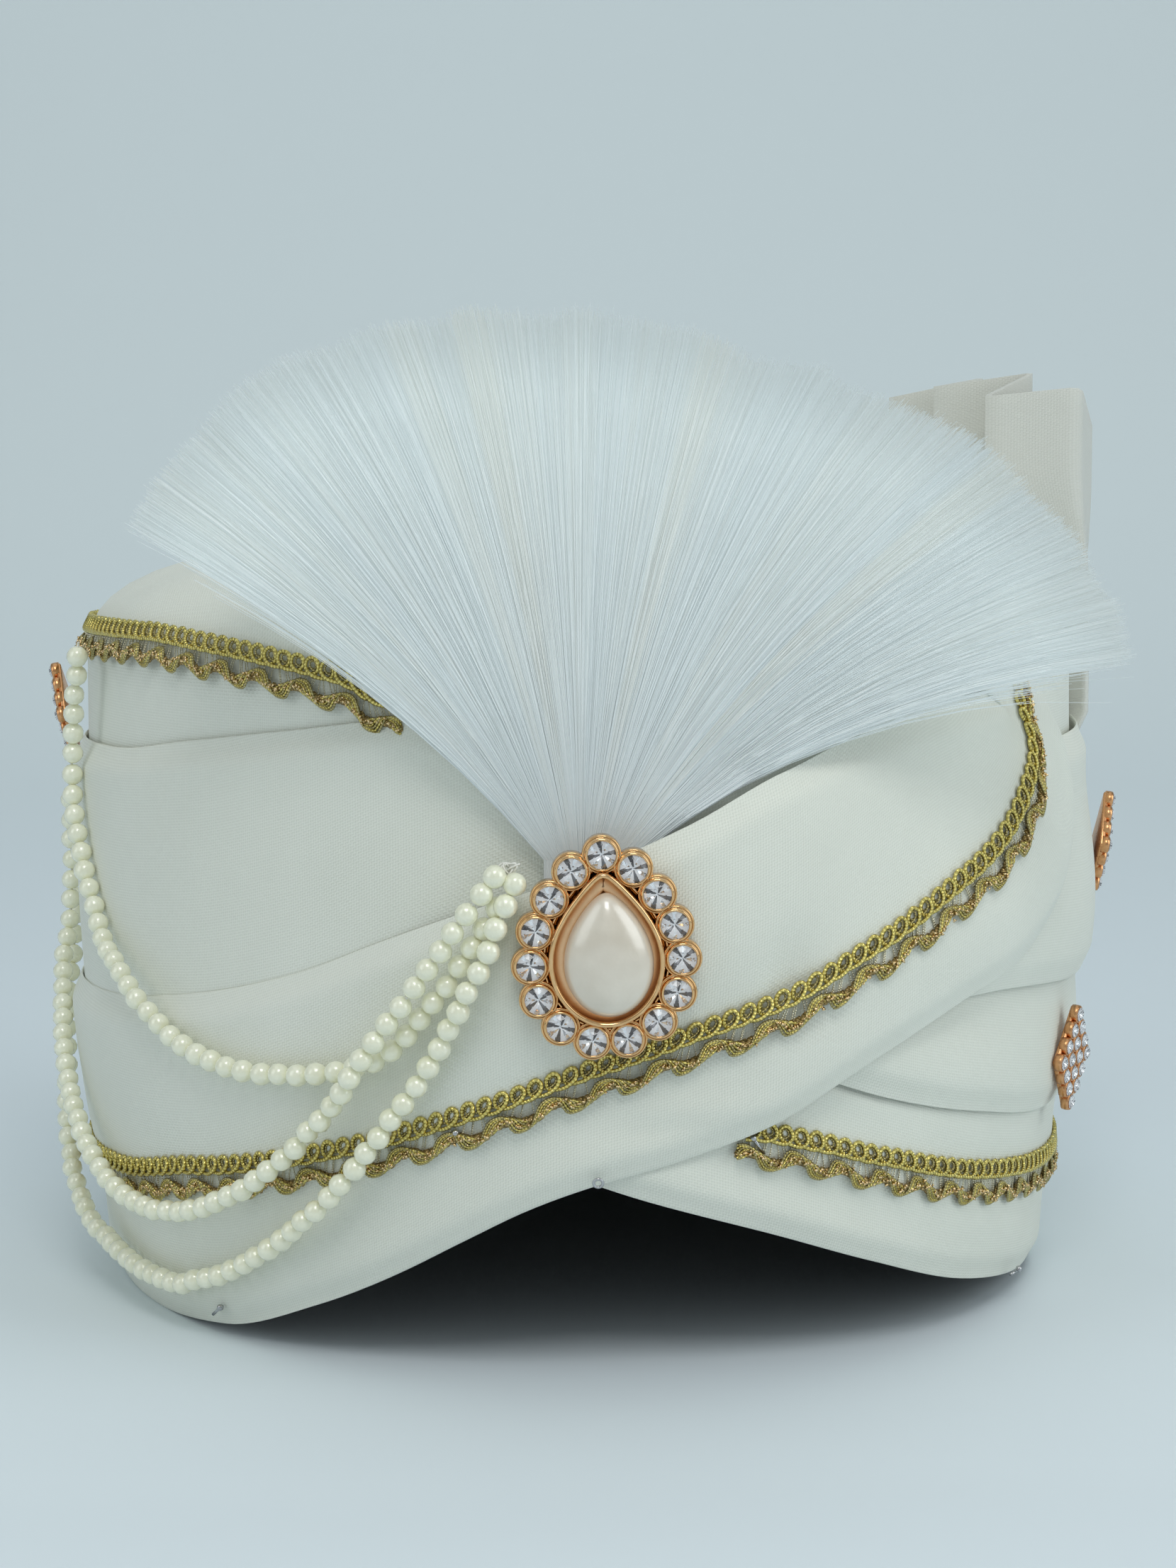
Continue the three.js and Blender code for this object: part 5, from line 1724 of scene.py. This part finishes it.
def pin_mesh():
    """One pin: a thin shank with a small round head."""
    bpy.ops.object.select_all(action="DESELECT")
    bpy.ops.mesh.primitive_cylinder_add(
        vertices=8, radius=PIN_RADIUS * MM, depth=PIN_LENGTH * MM, location=(0, 0, 0)
    )
    shank = bpy.context.object
    bpy.ops.mesh.primitive_uv_sphere_add(
        segments=10, ring_count=6, radius=PIN_HEAD * MM, location=(0, 0, PIN_LENGTH / 2 * MM)
    )
    shank.select_set(True)
    bpy.context.view_layer.objects.active = shank
    bpy.ops.object.join()
    return take_mesh(bpy.context.object)


def build_pins():
    pin = pin_mesh()
    heap = Heap()
    for turn, height, lift, way_round, way_up in PINS:
        normal = crown_normal(turn, height)
        around = unit(crown_surface(turn + 0.5, height) - crown_surface(turn - 0.5, height))
        up = np.cross(normal, around)
        heading = unit(around * way_round + up * way_up + normal * PIN_SLANT)
        side = unit(np.cross(heading, normal))
        basis = np.stack([side, np.cross(heading, side), heading], axis=1)
        add_mesh(heap, pin, 0, (basis, crown_point(turn, height, lift)))
    turn, height, lift, radius, wire = BROW_EYE
    bpy.ops.object.select_all(action="DESELECT")
    bpy.ops.mesh.primitive_torus_add(
        major_radius=radius * MM, minor_radius=wire * MM, major_segments=20, minor_segments=8
    )
    add_mesh(heap, take_mesh(bpy.context.object), 0, stand(turn, height, lift, BROW_EYE_TILT))
    set_up(heap.piece("rim_pins", [STEEL]), "steel")


def build_knot():
    """The white thread that ties the three strings beside the brooch."""
    turn = np.linspace(0, 1, KNOT_POINTS) * 2 * math.pi
    wander = np.stack(
        [
            np.cos(9 * turn) * (0.6 + 0.4 * np.sin(5 * turn)),
            np.sin(11 * turn),
            np.sin(7 * turn + 1.0),
        ],
        axis=1,
    )
    loops = np.array(KNOT_MIDDLE) + np.array(KNOT_REACH) * wander
    heap = Heap()
    heap.add_threads(loops[None], np.broadcast_to(KNOT_OUT, loops.shape)[None], KNOT_THREAD, 5, 0)
    set_up(heap.piece("string_knot", [THREAD]), "cloth")


# Studio, in metres and watts

# One paper in two colours: the lighter sweep behind is painted light.
PAPER_FLOOR = (0.75, 0.83, 0.88)
PAPER_BEHIND = (0.9, 0.98, 1.0)
PAPER_CHANGE = (0.2, 1.6)
SWEEP_FRONT = -3.0
SWEEP_BEND_START = 0.9
SWEEP_BEND_RADIUS = 1.2
SWEEP_BEND_STEPS = 12
SWEEP_TOP = 4.5
SWEEP_HALF_WIDTH = 5.0
AIM = (0, 0, 0.08)
# Soft boxes: name, place, aim, size, power and colour
LIGHTS = (
    ("top_box", (0.0, -0.1, 1.5), AIM, (1.8, 1.5), 3.4, (0.95, 1.0, 0.99)),
    ("left_box", (-1.25, -0.75, 0.75), AIM, (0.9, 1.2), 3.7, (0.95, 1.0, 1.0)),
    ("right_box", (1.3, -0.6, 0.7), AIM, (0.9, 1.2), 6.8, (0.95, 1.0, 1.0)),
    ("front_box", (0.15, -1.7, 0.8), AIM, (1.6, 1.1), 1.0, (0.96, 1.0, 0.99)),
    ("key_box", (0.05, -0.95, 1.15), AIM, (0.5, 0.5), 4.6, (1.0, 1.0, 0.98)),
    ("back_wash", (0.0, 0.7, 2.0), (0.0, 2.1, 0.9), (2.4, 0.6), 5.0, (0.9, 0.97, 1.0)),
)
ROOM_COLOUR = (0.84, 0.92, 0.95, 1)
ROOM_STRENGTH = 0.3
CAMERA_SENSOR = 36
CAMERA_LENS = 70.8
CAMERA_TILT = 5.5
CAMERA_SPOT = (0.0, -0.6, 0.147)


def paper_material():
    """Pale paper with painted light: a little deeper on the floor than on the sweep behind."""
    material, tree, shader = new_material("pale_paper")
    split = tree.nodes.new("ShaderNodeSeparateXYZ")
    tree.links.new(coords(tree, "Object"), split.inputs[0])
    back = tree.nodes.new("ShaderNodeMapRange")
    back.interpolation_type = "SMOOTHSTEP"
    back.inputs["From Min"].default_value = PAPER_CHANGE[0]
    back.inputs["From Max"].default_value = PAPER_CHANGE[1]
    tree.links.new(split.outputs[1], back.inputs["Value"])
    colour = mix_colour(tree, back.outputs["Result"], PAPER_FLOOR, PAPER_BEHIND)
    tree.links.new(colour, shader.inputs["Base Color"])
    shader.inputs["Roughness"].default_value = 0.8
    return material


def build_stage():
    profile = [(SWEEP_FRONT, 0.0), (SWEEP_BEND_START, 0.0)]
    for k in range(1, SWEEP_BEND_STEPS + 1):
        a = k / SWEEP_BEND_STEPS * math.pi / 2
        back = SWEEP_BEND_START + SWEEP_BEND_RADIUS * math.sin(a)
        profile.append((back, SWEEP_BEND_RADIUS - SWEEP_BEND_RADIUS * math.cos(a)))
    profile.append((SWEEP_BEND_START + SWEEP_BEND_RADIUS, SWEEP_TOP))
    verts = [(x, y, z) for y, z in profile for x in (-SWEEP_HALF_WIDTH, SWEEP_HALF_WIDTH)]
    faces = [(2 * i, 2 * i + 1, 2 * i + 3, 2 * i + 2) for i in range(len(profile) - 1)]
    mesh = bpy.data.meshes.new("studio_sweep")
    mesh.from_pydata(verts, [], faces)
    mesh.polygons.foreach_set("use_smooth", np.ones(len(faces), bool))
    mesh.materials.append(paper_material())
    linked("studio_sweep", mesh)


def area_light(name, place, aim, size, power, colour):
    lamp = bpy.data.lights.new(name, "AREA")
    lamp.shape = "RECTANGLE"
    lamp.size, lamp.size_y = size
    lamp.energy = power
    lamp.color = colour
    light = linked(name, lamp)
    light.location = place
    light.rotation_euler = (Vector(aim) - Vector(place)).to_track_quat("-Z", "Y").to_euler()


def build_lights():
    for row in LIGHTS:
        area_light(*row)
    world = bpy.data.worlds.new("studio")
    world.use_nodes = True
    background = world.node_tree.nodes["Background"]
    background.inputs["Color"].default_value = ROOM_COLOUR
    background.inputs["Strength"].default_value = ROOM_STRENGTH
    bpy.context.scene.world = world


def build_camera():
    data = bpy.data.cameras.new("photo_camera")
    data.sensor_width = CAMERA_SENSOR
    data.lens = CAMERA_LENS
    data.dof.use_dof = False
    camera = linked("photo_camera", data)
    camera.location = Vector(CAMERA_SPOT) + Vector(OVAL_CENTRE)
    camera.rotation_euler = (math.radians(90 - CAMERA_TILT), 0, 0)
    bpy.context.scene.camera = camera
    bpy.context.scene.view_settings.view_transform = "Standard"


crown, lining = build_crown()
main_wrap, middle_wrap, upper_wrap = build_wraps()
fan = build_fan()
build_lace("lace_main_gold", main_lace_bed(), "lace_main", 3)
build_lace("lace_crown_gold", crown_lace_bed(), "lace_crown", 4)
build_strings()
build_brooch()
build_clips()
build_plume()
build_pins()
build_knot()
build_stage()
build_lights()
build_camera()
